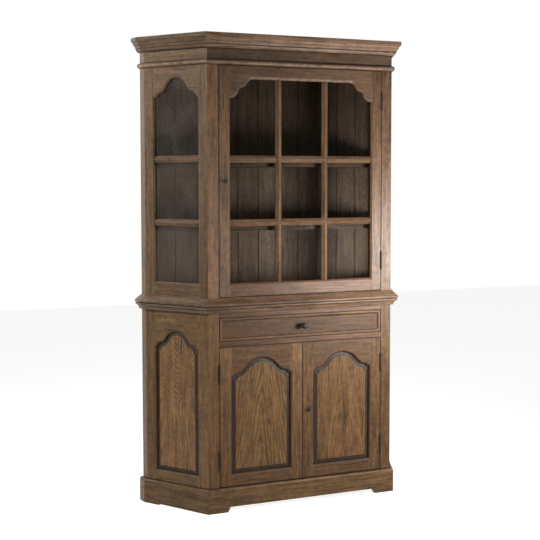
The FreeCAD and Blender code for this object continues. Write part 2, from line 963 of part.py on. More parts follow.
def lock_spaces(key_x, key_z):
    """Hollows inside a lock: the turning space of the key bit and the slide of the bolt."""
    edge_x = key_x - lock_backset
    near = front_y + lock_depth + lock_wall
    far = front_y + lock_depth + lock_thickness - lock_wall
    turn_space = rod(bit_reach + stop_gap, key_x, near, key_z, far - near, vector(0, 1, 0))
    low = key_z + bolt_low - bolt_clearance
    high = key_z + bolt_low + bolt_height + bolt_clearance
    slide = block(edge_x - margin, key_x + bolt_tail + bolt_clearance * 2, near, far, low, high)
    shaft_start = front_y + lock_depth - margin
    shaft = rod(
        key_shaft_radius + fit_gap, key_x, shaft_start, key_z, lock_thickness + margin * 2, vector(0, 1, 0)
    )
    return [turn_space, slide, shaft]


def lock_blank(key_x, key_z, gap):
    """Mortised lock with its plate on the edge of the door."""
    edge_x = key_x - lock_backset
    near = front_y + lock_depth - gap
    far = front_y + lock_depth + lock_thickness + gap
    case = block(edge_x, edge_x + lock_width + gap, near, far, key_z - lock_low - gap, key_z + lock_high + gap)
    plate_far = edge_x + plate_thickness
    plate = block(edge_x, plate_far, near, far, key_z - plate_low - gap, key_z + plate_high + gap)
    return joined([case, plate])


def lock(key_x, key_z):
    return lock_blank(key_x, key_z, 0).cut(lock_spaces(key_x, key_z))


def lock_recesses(key_x, key_z):
    """Mortise for a lock and the keyhole in front of it."""
    hole = keyhole_cutter(key_x, key_z, -margin, lock_depth + margin, keyhole_radius)
    shaft_back = front_y + lock_depth + lock_thickness - margin
    shaft = rod(keyhole_radius, key_x, shaft_back, key_z, margin * 2, vector(0, 1, 0))
    return [lock_blank(key_x, key_z, fit_gap), hole, shaft]


def bolt(key_x, key_z):
    """Lock bolt with the notch in which the key bit works."""
    edge_x = key_x - lock_backset
    near = front_y + lock_depth + lock_wall + bolt_clearance
    far = front_y + lock_depth + lock_thickness - lock_wall - bolt_clearance
    low = key_z + bolt_low
    bar = block(edge_x, key_x + bolt_tail, near, far, low, low + bolt_height)
    middle = key_x + bolt_travel / 2
    half = notch_width / 2
    notch = block(middle - half, middle + half, near - margin, far + margin, low - margin, low + notch_height)
    return bar.cut(notch)


def bolt_socket(key_x, key_z, face_x):
    """Hole that takes the thrown bolt, cut from the piece across the gap."""
    gap = bolt_clearance * 2
    near = front_y + lock_depth + lock_wall - gap
    far = front_y + lock_depth + lock_thickness - lock_wall + gap
    low = key_z + bolt_low - gap
    return block(face_x - bolt_travel, face_x + margin, near, far, low, low + bolt_height + gap * 2)


def key(key_x, key_z):
    """Key with a ring bow, a collar, a round shaft and a bit that points up to the right."""
    backward = vector(0, 1, 0)
    start = front_y - key_neck_depth
    shaft = rod(key_shaft_radius, key_x, start, key_z, key_neck_depth + key_end_depth, backward)
    collar_start = front_y - key_collar_depth - key_collar_length
    collar = rod(key_collar_radius, key_x, collar_start, key_z, key_collar_length, backward)
    ring_y = start - bow_radius
    ring = Part.makeTorus(bow_radius, bow_wire_radius, vector(key_x, ring_y, key_z), vector(1, 0, 0))
    near = lock_depth + lock_wall + bolt_clearance
    far = lock_depth + lock_thickness - lock_wall - bolt_clearance
    half = bit_thickness / 2
    bit = block(-half, half, near, far, 0, bit_reach)
    bit.rotate(vector(0, 0, 0), vector(0, 1, 0), quarter_turn / 2)
    bit.translate(vector(key_x, front_y, key_z))
    return joined([shaft, collar, ring, bit])


def door_pieces(frame, stile_width, low, high, thickness, sill_top):
    """Blanks of stiles, head and sill of a door, in face places."""
    left = frame.left
    right = frame.right
    head_low = frame.spring
    cutters = [frame.hole(thickness), frame.edge_cutter()]
    head = block(left, right, 0, thickness, head_low, high).cut(cutters)
    sill = block(left, right, 0, thickness, low, sill_top).cut(cutters[1:])
    left_stile = block(left - stile_width, left, 0, thickness, low, high).cut(cutters[1:])
    right_stile = block(right, right + stile_width, 0, thickness, low, high).cut(cutters[1:])
    return [left_stile, right_stile, head, sill]


def panelled_door(left_edge):
    """Stiles, head, sill and panel of a lower door whose left edge stands here."""
    low = lower_door_low
    high = lower_door_high
    left = left_edge + lower_stile_width
    right = left_edge + lower_leaf_width - lower_stile_width
    sill_top = low + lower_sill_height
    steps = steps_of(door_arch_size, door_arch_shares)
    frame = PanelFrame(left, right, sill_top, lower_spring_level, steps, door_crown_share)
    pieces = door_pieces(frame, lower_stile_width, low, high, lower_door_thickness, sill_top)
    left_stile, right_stile, head, sill = [piece.cut(frame.groove()) for piece in pieces]
    crown = lower_spring_level + (right - left) * crown_height_share
    rails = ((crown, high), (low, sill_top - groove_depth))
    head = railed(head, left, right, crown, high)
    sill = railed(sill, left, right, low, sill_top - groove_depth)
    holes = sockets(left, right, rails)
    stiles = [left_stile.cut(holes), right_stile.cut(holes)]
    stiles = [on_front(piece) for piece in stiles]
    return stiles, on_front(head), on_front(sill), on_front(frame.panel())


def left_door():
    axis_x = -(opening_half - half_gap)
    stiles, head, sill, panel = panelled_door(-opening_half + door_gap)
    recesses = []
    for low in lower_hinge_lows:
        recesses += hinge_recesses(axis_x, low, 1)
    socket = bolt_socket(half_gap + lock_backset, lower_key_level, -half_gap)
    stiles = [stiles[0].cut(recesses), stiles[1].cut(socket)]
    save("left_door_stiles", stiles)
    save("left_door_head", [head])
    save("left_door_sill", [sill])
    save("left_door_panel", [panel])
    save("left_door_hinge_leaves", hinge_leaves(axis_x, lower_hinge_lows, 1, False))


def right_door():
    axis_x = opening_half - half_gap
    key_x = half_gap + lock_backset
    stiles, head, sill, panel = panelled_door(half_gap)
    recesses = []
    for low in lower_hinge_lows:
        recesses += hinge_recesses(axis_x, low, -1)
    stiles = [stiles[0].cut(lock_recesses(key_x, lower_key_level)), stiles[1].cut(recesses)]
    save("right_door_stiles", stiles)
    save("right_door_head", [head])
    save("right_door_sill", [sill])
    save("right_door_panel", [panel])
    save("right_door_hinge_leaves", hinge_leaves(axis_x, lower_hinge_lows, -1, False))
    save("right_door_lock", [lock(key_x, lower_key_level)])
    save("right_door_escutcheon", [escutcheon(key_x, lower_key_level)])
    save("lower_key", [key(key_x, lower_key_level)])
    save("lower_bolt", [bolt(key_x, lower_key_level)])


def dovetails(side_left, side_right, low, grow):
    """Three tails that enter the drawer front from a side."""
    tails = []
    near = drawer_front_thickness - dovetail_length
    for number in range(3):
        middle = low + dovetail_low + dovetail_root / 2 + number * dovetail_pitch
        root = dovetail_root / 2 + grow
        tip = root + dovetail_spread
        points = [
            (near - grow, middle - tip),
            (drawer_front_thickness, middle - root),
            (drawer_front_thickness, middle + root),
            (near - grow, middle + tip),
        ]
        wire = Part.makePolygon([vector(side_left, y, z) for y, z in points + points[:1]])
        tails.append(solid_of(Part.Face(wire).extrude(vector(side_right - side_left, 0, 0))))
    return tails


def drawer():
    low = lower_rail_top + drawer_front_low_gap
    high = upper_rail_low - drawer_front_low_gap
    side_low = low + drawer_side_rise
    side_high = high - drawer_side_drop
    outer = leaf_half - drawer_side_inset
    inner = outer - drawer_side_thickness
    bottom_low = low + drawer_bottom_rise
    bottom_high = bottom_low + drawer_bottom_thickness
    front = block(-leaf_half, leaf_half, 0, drawer_front_thickness, low, high)
    share = margin / drawer_field_depth
    outline = (-leaf_half, leaf_half, low, high)
    wide = grown(outline, drawer_border_bevel * share - drawer_border_width)
    narrow = grown(outline, -drawer_border_width - drawer_border_bevel)
    pocket = taper(rectangle(*wide), -margin, rectangle(*narrow), drawer_field_depth)
    groove_near = drawer_front_thickness - drawer_groove
    groove_end = inner + drawer_groove
    groove = block(
        -groove_end - fit_gap, groove_end + fit_gap, groove_near - fit_gap, drawer_length + margin,
        bottom_low - fit_gap, bottom_high + fit_gap,
    )
    tails = dovetails(inner, outer, side_low, fit_gap)
    shank = knob_shank(-margin, fit_gap)
    cutters = [pocket, groove, shank] + tails + [mirrored(tail) for tail in tails]
    save("drawer_front", [on_front(front.cut(cutters))])
    side = block(inner, outer, drawer_front_thickness, drawer_length, side_low, side_high)
    side = joined([side] + dovetails(inner, outer, side_low, 0)).cut(groove)
    save("drawer_sides", [on_front(piece) for piece in pair(side)])
    back_near = drawer_length - drawer_side_thickness
    back = block(-inner, inner, back_near, drawer_length, bottom_high, side_high)
    save("drawer_back", [on_front(back)])
    bottom = block(-groove_end, groove_end, groove_near, drawer_length, bottom_low, bottom_high)
    save("drawer_bottom", [on_front(bottom)])
    save("drawer_knob", [on_front(drawer_knob())])


def knob_shank(start, grow):
    """Stem of the knob from a place in front of the drawer field to the back of the front."""
    length = drawer_front_thickness - start
    return rod(knob_stem_radius + grow, 0, start, knob_level, length, vector(0, 1, 0))


def drawer_knob():
    """Turned knob with a rose, a hollow neck and a rounded head."""
    face = drawer_field_depth
    points = [
        (0, 0),
        (knob_rose_radius, 0),
        (knob_rose_radius, knob_rose_height),
        (knob_neck_radius, knob_neck_height, soft_bow_share),
        (knob_head_radius, knob_head_height, soft_bow_share),
        (knob_crown_radius, knob_height, -quarter_round_share),
        (0, knob_height),
    ]
    section = Part.Face(Part.Wire(path_edges(points)))
    head = section.revolve(vector(0, 0, 0), vector(0, 1, 0), quarter_turn * 4)
    head = solid_of(head)
    head.rotate(vector(0, 0, 0), vector(1, 0, 0), quarter_turn * 2)
    head.translate(vector(0, face, knob_level))
    return joined([head, knob_shank(face, 0)])


def drawer_runners():
    """Runners under the drawer sides, guides beside them and the bearer at the back."""
    low = lower_rail_top + drawer_front_low_gap + drawer_side_rise - plate_gap
    outer = leaf_half - drawer_side_inset
    back = inner_back_y - front_y - bearer_depth
    inner = outer - runner_width
    runner = block(inner, outer + guide_width, rail_depth, back, low - runner_height, low)
    guide_low = low
    guide = block(outer + plate_gap, outer + guide_width, rail_depth, back, guide_low, guide_low + guide_height)
    end = case_half - frame_thickness
    bearer = block(-end, end, back, back + bearer_depth, low - runner_height, low)
    pieces = pair(joined([runner, guide])) + [bearer]
    return [on_front(piece) for piece in pieces]


def waist_board():
    """Board between the two storeys with a sloping, stepped nose on five faces."""
    core = plan_solid(
        [
            front_corner(0),
            rear_corner(0),
            (case_half, back_y),
            (-case_half, back_y),
            (-rear_corner(0)[0], rear_corner(0)[1]),
            (-front_corner(0)[0], front_corner(0)[1]),
        ],
        lower_top,
        waist_top,
    )
    nose = [
        (0, lower_top),
        (nose_groove_reach, lower_top),
        (nose_groove_reach, waist_top - nose_under_drop),
        (nose_slope_reach, waist_top - nose_under_drop),
        (nose_reach, waist_top - nose_lower_drop, -soft_bow_share),
        (nose_reach, waist_top - nose_upper_drop),
        (nose_slope_reach, waist_top - nose_slope_drop, -soft_bow_share),
        (0, waist_top),
    ]
    return [core] + mitred_run(nose, lower_top, waist_top)


def waist_moulding():
    low = lower_top - waist_moulding_height
    profile = [
        (0, low),
        (waist_bottom_reach, low),
        (waist_cove_reach, low + waist_cove_height, soft_bow_share),
        (waist_cove_reach + waist_quirk, low + waist_cove_height),
        (waist_top_reach, lower_top - waist_quirk, -soft_bow_share),
        (waist_top_reach, lower_top),
        (0, lower_top),
    ]
    return mitred_run(profile, low, lower_top)


def frieze():
    """Upright boards over the glazed part, mitred at the corners, and the board at the back."""
    profile = rectangle(-frame_thickness, 0, upper_top, frieze_top)
    end = case_half - frame_thickness
    rear = block(-end, end, back_y - frame_thickness, back_y, upper_top, frieze_top)
    return mitred_run(profile, upper_top, frieze_top) + [rear]


def frieze_bead():
    profile = [
        (0, upper_top),
        (bead_round_start, upper_top),
        (bead_round_start, upper_top + bead_height, -bead_round_share),
        (0, upper_top + bead_height),
    ]
    return mitred_run(profile, upper_top, upper_top + bead_height)


def cornice():
    profile = [
        (0, cornice_low),
        (soffit_reach, cornice_low),
        (ovolo_reach, cornice_low + ovolo_height, -soft_bow_share),
        (quirk_reach, cornice_low + quirk_height),
        (cyma_middle_reach, cornice_low + cyma_middle_height, soft_bow_share),
        (cornice_reach, cornice_low + cyma_top_height, soft_bow_share),
        (cornice_reach, total_height),
        (-frame_thickness, total_height),
        (-frame_thickness, frieze_top),
        (0, frieze_top),
    ]
    return mitred_run(profile, cornice_low, total_height)


def top_boards():
    """Board that closes the glazed part and the dust board inside the cornice."""
    outline = floor_outline(frame_thickness + stop_gap)
    outline[0:2] = [(opening_half, front_y + frame_thickness + stop_gap)]
    outline[-2:] = [(-opening_half, front_y + frame_thickness + stop_gap)]
    closing = plan_solid(outline, upper_top - case_top_thickness, upper_top)
    back = back_y - frame_thickness
    inner = -frame_thickness
    right = [front_corner(inner), rear_corner(inner), (case_half + inner, back)]
    dust = right + [(-x, y) for x, y in reversed(right)]
    dust_high = frieze_top - dust_board_drop
    return [closing, plan_solid(dust, dust_high - dust_board_thickness, dust_high)]


def bar_section(middle, grow):
    """Triangular section of a glazing bar: place across and depth."""
    half = bar_half_width + grow
    return [
        (middle - half, glass_depth),
        (middle - half, bar_edge_depth),
        (middle, bar_ridge_depth),
        (middle + half, bar_edge_depth),
        (middle + half, glass_depth),
    ]


def upright_bar(x, low, high):
    wire = Part.makePolygon([vector(a, b, low) for a, b in bar_section(x, 0) + bar_section(x, 0)[:1]])
    return solid_of(Part.Face(wire).extrude(vector(0, 0, high - low)))


def cross_bar(z, left, right):
    section = bar_section(z, 0)
    wire = Part.makePolygon([vector(left, b, a) for a, b in section + section[:1]])
    return solid_of(Part.Face(wire).extrude(vector(right - left, 0, 0)))


cant_light = PanelFrame(
    upper_front_post_cant,
    cant_length - rear_post_cant,
    upper_sill_top,
    cant_spring_level,
    steps_of(light_arch_size, side_arch_shares),
    light_crown_share,
)
door_light = PanelFrame(
    -leaf_half + glass_stile_width,
    leaf_half - glass_stile_width,
    upper_sill_top,
    door_spring_level,
    steps_of(scallop_size, door_scallop_shares),
    0,
)


def light_top(frame):
    """Height of the highest point of a glazed opening."""
    width = frame.right - frame.left
    step_in, step_up = frame.steps[-1][0:2]
    return frame.spring + step_up - frame.crown_share * (width - step_in * 2)


def rebate_outline(frame, grow):
    """Rectangle behind a glazed opening, as left, right, low and high."""
    return grown((frame.left, frame.right, frame.low, light_top(frame)), grow)


def rebate(frame, thickness):
    return board(rectangle(*rebate_outline(frame, rebate_width)), glass_depth, thickness + margin)


def pane(frame):
    outline = rebate_outline(frame, rebate_width - glass_play)
    return board(rectangle(*outline), glass_depth, glass_depth + glass_thickness)


def glazing_beads(frame, thickness):
    outer = rebate_outline(frame, rebate_width)
    inner = rebate_outline(frame, 0)
    return mitred_frame(outer, inner, glass_depth + glass_thickness, thickness)


def light_cutters(frame, thickness):
    """Bevel round the front of a glazed opening and the rebate behind it."""
    return [frame.edge_cutter(), rebate(frame, thickness)]


def cant_rails():
    """Heights of the head and sill of a canted light."""
    head = (light_top(cant_light) + rebate_width, upper_top)
    sill = (waist_top, upper_sill_top - rebate_width)
    return head, sill


def upper_post_cutters():
    cutters = light_cutters(cant_light, frame_thickness)
    cutters += sockets(cant_light.left, cant_light.right, cant_rails())
    cutters = [on_cant(piece) for piece in cutters]
    for low in upper_shelf_levels:
        cutters += shelf_pins(low, fit_gap)
    return cutters


def upper_front_posts():
    blank = front_post_blank(upper_front_post_cant, waist_top, upper_top)
    post = blank.cut(upper_post_cutters())
    recesses = []
    for low in glass_hinge_lows:
        recesses += hinge_recesses(opening_half - half_gap, low, 1)
    key_x = -leaf_half + lock_backset
    socket = bolt_socket(key_x, upper_key_level, -opening_half)
    return [post.cut(recesses), mirrored(post).cut(socket)]


def upper_rear_posts():
    blank = rear_post_blank(waist_top, upper_top)
    return pair(blank.cut(upper_post_cutters()))


def upper_side_frame():
    left = cant_light.left
    right = cant_light.right
    head_span, sill_span = cant_rails()
    cutters = light_cutters(cant_light, frame_thickness)
    hole = cant_light.hole(frame_thickness)
    head = block(left, right, 0, frame_thickness, cant_spring_level, upper_top).cut(cutters + [hole])
    sill = block(left, right, 0, frame_thickness, waist_top, upper_sill_top).cut(cutters)
    head = railed(head, left, right, head_span[0], head_span[1])
    sill = railed(sill, left, right, sill_span[0], sill_span[1])
    save("upper_side_heads", pair(on_cant(head)))
    save("upper_side_sills", pair(on_cant(sill)))
    post_left = block(left - sticking_width, left, 0, frame_thickness, waist_top, upper_top).cut(cutters)
    post_right = block(right, right + sticking_width, 0, frame_thickness, waist_top, upper_top).cut(cutters)
    bars = []
    for level in bar_levels:
        bar = cross_bar(level, left - sticking_width, right + sticking_width)
        bars += pair(on_cant(bar.cut([post_left, post_right])))
    save("upper_side_bars", bars)
    save("upper_side_glass", pair(on_cant(pane(cant_light))))
    beads = []
    for bead in glazing_beads(cant_light, frame_thickness):
        beads += pair(on_cant(bead))
    save("side_glazing_beads", beads)


def glass_door():
    key_x = -leaf_half + lock_backset
    axis_x = opening_half - half_gap
    frame = door_light
    pieces = door_pieces(
        frame, glass_stile_width, glass_door_low, glass_door_high, frame_thickness, upper_sill_top
    )
    left_stile, right_stile, head, sill = [piece.cut(rebate(frame, frame_thickness)) for piece in pieces]
    head_span = (light_top(frame) + rebate_width - tenon_shoulder / 2, glass_door_high)
    sill_span = (glass_door_low, upper_sill_top - rebate_width)
    holes = sockets(frame.left, frame.right, (head_span, sill_span))
    bars = glass_door_bars(left_stile, right_stile, head, sill)
    head = railed(head, frame.left, frame.right, head_span[0], head_span[1])
    sill = railed(sill, frame.left, frame.right, sill_span[0], sill_span[1])
    recesses = []
    for low in glass_hinge_lows:
        recesses += hinge_recesses(axis_x, low, -1)
    left_stile = on_front(left_stile.cut(holes)).cut(lock_recesses(key_x, upper_key_level))
    right_stile = on_front(right_stile.cut(holes)).cut(recesses)
    save("glass_door_stiles", [left_stile, right_stile])
    save("glass_door_head", [on_front(head)])
    save("glass_door_sill", [on_front(sill)])
    save("glass_door_bars", [on_front(piece) for piece in bars])
    save("glass_door_pane", [on_front(pane(frame))])
    save("glass_door_glazing_beads", [on_front(piece) for piece in glazing_beads(frame, frame_thickness)])
    save("glass_door_hinge_leaves", hinge_leaves(axis_x, glass_hinge_lows, -1, False))
    save("glass_door_lock", [lock(key_x, upper_key_level)])
    save("glass_door_escutcheon", [escutcheon(key_x, upper_key_level)])
    save("upper_key", [key(key_x, upper_key_level)])
    save("upper_bolt", [bolt(key_x, upper_key_level)])


def glass_door_bars(left_stile, right_stile, head, sill):
    """Two upright bars and the cross bars scribed between them, the stiles, head and sill."""
    low = upper_sill_top - sticking_width
    high = light_top(door_light) + sticking_width
    uprights = [upright_bar(x, low, high) for x in (-bar_offset, bar_offset)]
    solids = [upright.cut([head, sill]) for upright in uprights]
    left = door_light.left - sticking_width
    right = door_light.right + sticking_width
    for level in bar_levels:
        run = cross_bar(level, left, right)
        solids += run.cut(uprights + [left_stile, right_stile]).Solids
    return solids


def main():
    os.makedirs("parts", exist_ok=True)
    save("plinth_front", plinth_front())
    save("plinth_sides", plinth_sides())
    save("plinth_inner_frame", plinth_inner_frame())
    save("lower_floor", lower_floor())
    save("lower_front_posts", lower_front_posts())
    save("lower_rear_posts", lower_rear_posts())
    save("front_rails", front_rails())
    save("lower_side_heads", pair(on_cant(side_head())))
    save("lower_side_sills", pair(on_cant(side_sill())))
    save("lower_side_panels", pair(on_cant(lower_side_frame.panel())))
    save("lower_back_boards", back_boards(plinth_height, lower_top))
    save("lower_shelf", [shelf(lower_shelf_level, front_y + lower_shelf_front)])
    save("drawer_runners", drawer_runners())
    drawer()
    left_door()
    right_door()
    save("waist_board", waist_board())
    save("waist_moulding", waist_moulding())
    save("upper_front_posts", upper_front_posts())
    save("upper_rear_posts", upper_rear_posts())
    upper_side_frame()
    save("upper_back_boards", back_boards(waist_top, upper_top))
    save("upper_shelves", [shelf(low, front_y + upper_shelf_front) for low in upper_shelf_levels])
    pins = []
    for low in [lower_shelf_level] + upper_shelf_levels:
        pins += shelf_pins(low, 0)
    save("shelf_pins", pins)
    save("frieze", frieze())
    save("frieze_bead", frieze_bead())
    save("cornice", cornice())
    save("top_boards", top_boards())
    save("case_hinge_leaves", case_hinge_leaves())
    glass_door()


main()
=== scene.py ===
"""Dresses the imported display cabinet: finishes for its oak, glass, iron and steel, then the
floor, the lamps and the camera.

Lengths are in metres in the cabinet's own frame: X right, Y back, Z up, the origin on the
floor under the middle of the cornice."""

import logging
import math
from abc import ABC, abstractmethod
from dataclasses import dataclass
from enum import Enum
from typing import ClassVar, NamedTuple, Sequence

import bpy
from mathutils import Matrix, Vector

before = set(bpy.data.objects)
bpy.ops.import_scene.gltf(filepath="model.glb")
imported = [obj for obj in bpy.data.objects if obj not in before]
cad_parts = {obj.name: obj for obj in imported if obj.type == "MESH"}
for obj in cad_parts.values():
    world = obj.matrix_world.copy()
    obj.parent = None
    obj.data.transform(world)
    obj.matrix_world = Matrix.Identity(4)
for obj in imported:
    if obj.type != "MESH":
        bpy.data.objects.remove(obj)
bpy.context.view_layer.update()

LOG = logging.getLogger("display_cabinet")

Triple = tuple[float, float, float]
Colour = Triple
Pair = tuple[float, float]
Bands = tuple[Triple, ...]  # place, half width and share of each
Lines = tuple[Pair, ...]  # place and half width of each
Socket = bpy.types.NodeSocket

HALF = 0.5
SHADING_SAMPLES = 4


class Noise(NamedTuple):
    """A fractal noise: how fine it is, its octaves, its roughness and how far it is bent."""

    scale: float
    detail: float = 3.0
    roughness: float = 0.5
    bend: float = 0.0


class Ramp(NamedTuple):
    """A smooth step: the values where it starts and ends, and what it gives there."""

    low: float
    high: float
    start: float = 0.0
    end: float = 1.0


class GrainRun(Enum):
    """Which way the fibres of a board run."""

    UPRIGHT = "upright"
    ALONG = "along the faces"
    ACROSS = "straight across the case"


@dataclass(frozen=True)
class CasePlan:
    """Plan sizes of the carcase that the finishes follow."""

    front_half: float = 0.488
    front_y: float = -0.174
    cant_width: float = 0.173
    cant_depth: float = 0.339
    back_y: float = 0.218

    @property
    def cant_length(self) -> float:
        """Length of a canted face."""
        return math.hypot(self.cant_width, self.cant_depth)

    @property
    def across_share(self) -> float:
        """Share of the cant's length that lies along Y."""
        return self.cant_depth / self.cant_length

    @property
    def along_share(self) -> float:
        """Share of the cant's length that lies along X."""
        return self.cant_width / self.cant_length


PLAN = CasePlan()


@dataclass(frozen=True)
class FacePlace:
    """Where a point lies on the unfolded faces of the case.

    Attributes:
        along: distance along the faces from the middle of the front.
        out: distance out from the face.
        height: height over the floor.
        side: 1 on the right and -1 on the left.
        canted: 1 beyond the front corner.
        behind: 1 on the back.
    """

    along: Socket
    out: Socket
    height: Socket
    side: Socket
    canted: Socket
    behind: Socket


class ShaderGraph:
    """Short ways to write a material's nodes."""

    line_core: float = 0.25
    centre_offset: float = 1e-5
    back_play: float = 0.003

    def __init__(self, name: str) -> None:
        """Makes an empty material.

        Args:
            name: the material's name.
        """
        self.material = bpy.data.materials.new(name)
        self.material.use_nodes = True
        self.tree = self.material.node_tree
        self.tree.nodes.clear()
        self.output = self.tree.nodes.new("ShaderNodeOutputMaterial")

    def node(self, kind: str, **settings: object) -> bpy.types.Node:
        """Adds a node and sets its properties."""
        made = self.tree.nodes.new(kind)
        for key, value in settings.items():
            setattr(made, key, value)
        return made

    def feed(self, socket: Socket, value: object) -> None:
        """Links a socket, or writes a constant into it."""
        if isinstance(value, bpy.types.NodeSocket):
            self.tree.links.new(value, socket)
        else:
            socket.default_value = value

    def feed_all(self, made: bpy.types.Node, values: Sequence[object]) -> Socket:
        """Fills a node's first sockets in order and gives its first output."""
        for socket, value in zip(made.inputs, values):
            self.feed(socket, value)
        return made.outputs[0]

    def math(self, operation: str, *values: object) -> Socket:
        """One arithmetic step."""
        return self.feed_all(self.node("ShaderNodeMath", operation=operation), values)

    def times(self, first: object, second: object) -> Socket:
        """The product of two numbers."""
        return self.math("MULTIPLY", first, second)

    def plus(self, first: object, second: object) -> Socket:
        """The sum of two numbers."""
        return self.math("ADD", first, second)

    def minus(self, first: object, second: object) -> Socket:
        """The first number less the second."""
        return self.math("SUBTRACT", first, second)

    def fused(self, first: object, second: object, third: object) -> Socket:
        """The product of two numbers, plus a third."""
        return self.math("MULTIPLY_ADD", first, second, third)

    def larger(self, first: object, second: object) -> Socket:
        """The larger of two numbers."""
        return self.math("MAXIMUM", first, second)

    def gap(self, value: object, centre: object) -> Socket:
        """How far a number lies from a centre."""
        return self.math("ABSOLUTE", self.minus(value, centre))

    def combine(self, x: object, y: object, z: object) -> Socket:
        """Puts three numbers into a vector."""
        return self.feed_all(self.node("ShaderNodeCombineXYZ"), (x, y, z))

    def place(self) -> tuple[Socket, Socket, Socket]:
        """The point's place on the cabinet at rest, as three numbers."""
        coordinates = self.node("ShaderNodeTexCoord")
        split = self.node("ShaderNodeSeparateXYZ")
        self.feed(split.inputs[0], coordinates.outputs["Object"])
        return split.outputs[0], split.outputs[1], split.outputs[2]

    def noise(self, vector: Socket, kind: Noise) -> Socket:
        """Fractal noise between 0 and 1."""
        made = self.node("ShaderNodeTexNoise")
        self.feed(made.inputs["Vector"], vector)
        for name, value in zip(("Scale", "Detail", "Roughness", "Distortion"), kind):
            self.feed(made.inputs[name], value)
        return made.outputs[0]

    def chance(self, value: Socket) -> Socket:
        """A number between 0 and 1 that is the same for equal inputs."""
        made = self.node("ShaderNodeTexWhiteNoise", noise_dimensions="1D")
        self.feed(made.inputs["W"], value)
        return made.outputs["Value"]

    def span(self, value: Socket, ramp: Ramp) -> Socket:
        """Smoothly maps a stretch of values to another and holds it outside."""
        made = self.node("ShaderNodeMapRange", interpolation_type="SMOOTHSTEP")
        return self.feed_all(made, (value, *ramp))

    def patches(self, vector: Socket, kind: Noise, ramp: Ramp) -> Socket:
        """Patches of a noise, as soft as the ramp is long."""
        return self.span(self.noise(vector, kind), ramp)

    def blend(self, share: object, first: object, second: object, way: str = "MIX") -> Socket:
        """Mixes two colours."""
        made = self.node("ShaderNodeMix", data_type="RGBA", blend_type=way)
        self.feed(made.inputs["Factor"], share)
        for socket, value in ((made.inputs[6], first), (made.inputs[7], second)):
            self.feed(socket, value if isinstance(value, bpy.types.NodeSocket) else (*value, 1.0))
        return made.outputs[2]

    def tinted(self, colour: Socket, tint: Socket) -> Socket:
        """A colour times a tint."""
        return self.blend(1.0, colour, tint, "MULTIPLY")

    def toned(self, colour: Socket, tone: Socket) -> Socket:
        """A colour made darker or lighter by a number."""
        return self.tinted(colour, self.combine(tone, tone, tone))

    def choose(self, test: Socket, otherwise: object, chosen: object) -> Socket:
        """Takes the second value where the test is 1, and the first elsewhere."""
        made = self.node("ShaderNodeMix", data_type="FLOAT")
        self.feed(made.inputs[0], test)
        self.feed(made.inputs[2], otherwise)
        self.feed(made.inputs[3], chosen)
        return made.outputs[0]

    def line(self, value: Socket, centre: float, half_width: float) -> Socket:
        """A soft band, 1 at its centre and 0 beyond its half width."""
        return self.span(self.gap(value, centre), Ramp(half_width * self.line_core, half_width, 1.0, 0.0))

    def bump(self, height: Socket, strength: float, distance: float) -> bpy.types.Node:
        """A node that tilts the surface after a relief."""
        made = self.node("ShaderNodeBump")
        made.inputs["Strength"].default_value = strength
        made.inputs["Distance"].default_value = distance
        self.feed(made.inputs["Height"], height)
        return made

    def surface(self, shader: bpy.types.Node) -> bpy.types.Material:
        """Makes a shader the material's surface and gives the finished material."""
        self.feed(self.output.inputs["Surface"], shader.outputs[0])
        return self.material

    def face_place(self) -> FacePlace:
        """Unfolds the five faces of the case."""
        x, y, z = self.place()
        side = self.math("SIGN", self.plus(x, self.centre_offset))
        right = self.minus(self.math("ABSOLUTE", x), PLAN.front_half)
        back = self.minus(y, PLAN.front_y)
        mitre = (1 - PLAN.along_share) / PLAN.across_share
        behind = self.math("GREATER_THAN", y, PLAN.back_y - self.back_play)
        past_front = self.math("GREATER_THAN", self.fused(back, mitre, right), behind)
        cant_along = self.fused(right, PLAN.along_share, self.times(back, PLAN.across_share))
        cant_out = self.minus(self.times(right, PLAN.across_share), self.times(back, PLAN.along_share))
        beyond = self.minus(right, PLAN.cant_width)
        rear_mitre = (1 - PLAN.across_share) / PLAN.along_share
        past_corner = self.minus(back, PLAN.cant_depth)
        rear_line = self.fused(beyond, rear_mitre, past_corner)
        past_cant = self.times(past_front, self.math("GREATER_THAN", rear_line, 0.0))
        cant_along = self.choose(past_cant, cant_along, self.plus(past_corner, PLAN.cant_length))
        cant_out = self.choose(past_cant, cant_out, beyond)
        along = self.choose(past_front, right, cant_along)
        out = self.choose(past_front, self.times(back, -1.0), cant_out)
        return FacePlace(self.plus(along, PLAN.front_half), out, z, side, past_front, behind)


@dataclass(frozen=True)
class Glaze:
    """Dark glaze that was wiped into recesses and left there, with painted shade in corners, recesses and gaps.

    Attributes:
        bands: dark bands along the mouldings, glaze together with painted shade: distance out from the face, half
            width and share.
        levels: level dark lines, painted shade and glaze along gaps and steps: height and half width.
        uprights: upright dark lines, painted shade along the gaps: place along the faces and half width.
        strength: share of the dark colour in a full line.
        corners: share of the darkening in inner corners: grime together with painted shade.
        corner_ramp: how closed in a corner is before it holds grime and painted shade.
        patches: where the darkening was wiped thinner.
    """

    bands: Bands = ()
    levels: Lines = ()
    uprights: Lines = ()
    strength: float = 0.95
    corners: float = 0.95
    corner_ramp: Ramp = Ramp(0.26, 0.56)
    patches: Ramp = Ramp(0.25, 0.6, 0.85, 1.0)

    def mask(self, graph: ShaderGraph, face: FacePlace, mottle: Socket, hollow: Socket) -> Socket:
        """Where the darkening lies, grime and glaze with painted shade: in inner corners, bands of the mouldings and
        the named lines.
        """
        # Inner corners, found by ambient occlusion, are darkened: grime together with painted shade.
        top = graph.times(graph.span(hollow, self.corner_ramp), self.corners)
        for middle, half_width, share in self.bands:
            top = graph.larger(top, graph.times(graph.line(face.out, middle, half_width), share))
        for value, lines in ((face.height, self.levels), (face.along, self.uprights)):
            for place, half_width in lines:
                top = graph.larger(top, graph.line(value, place, half_width))
        return graph.times(graph.times(top, self.strength), graph.span(mottle, self.patches))


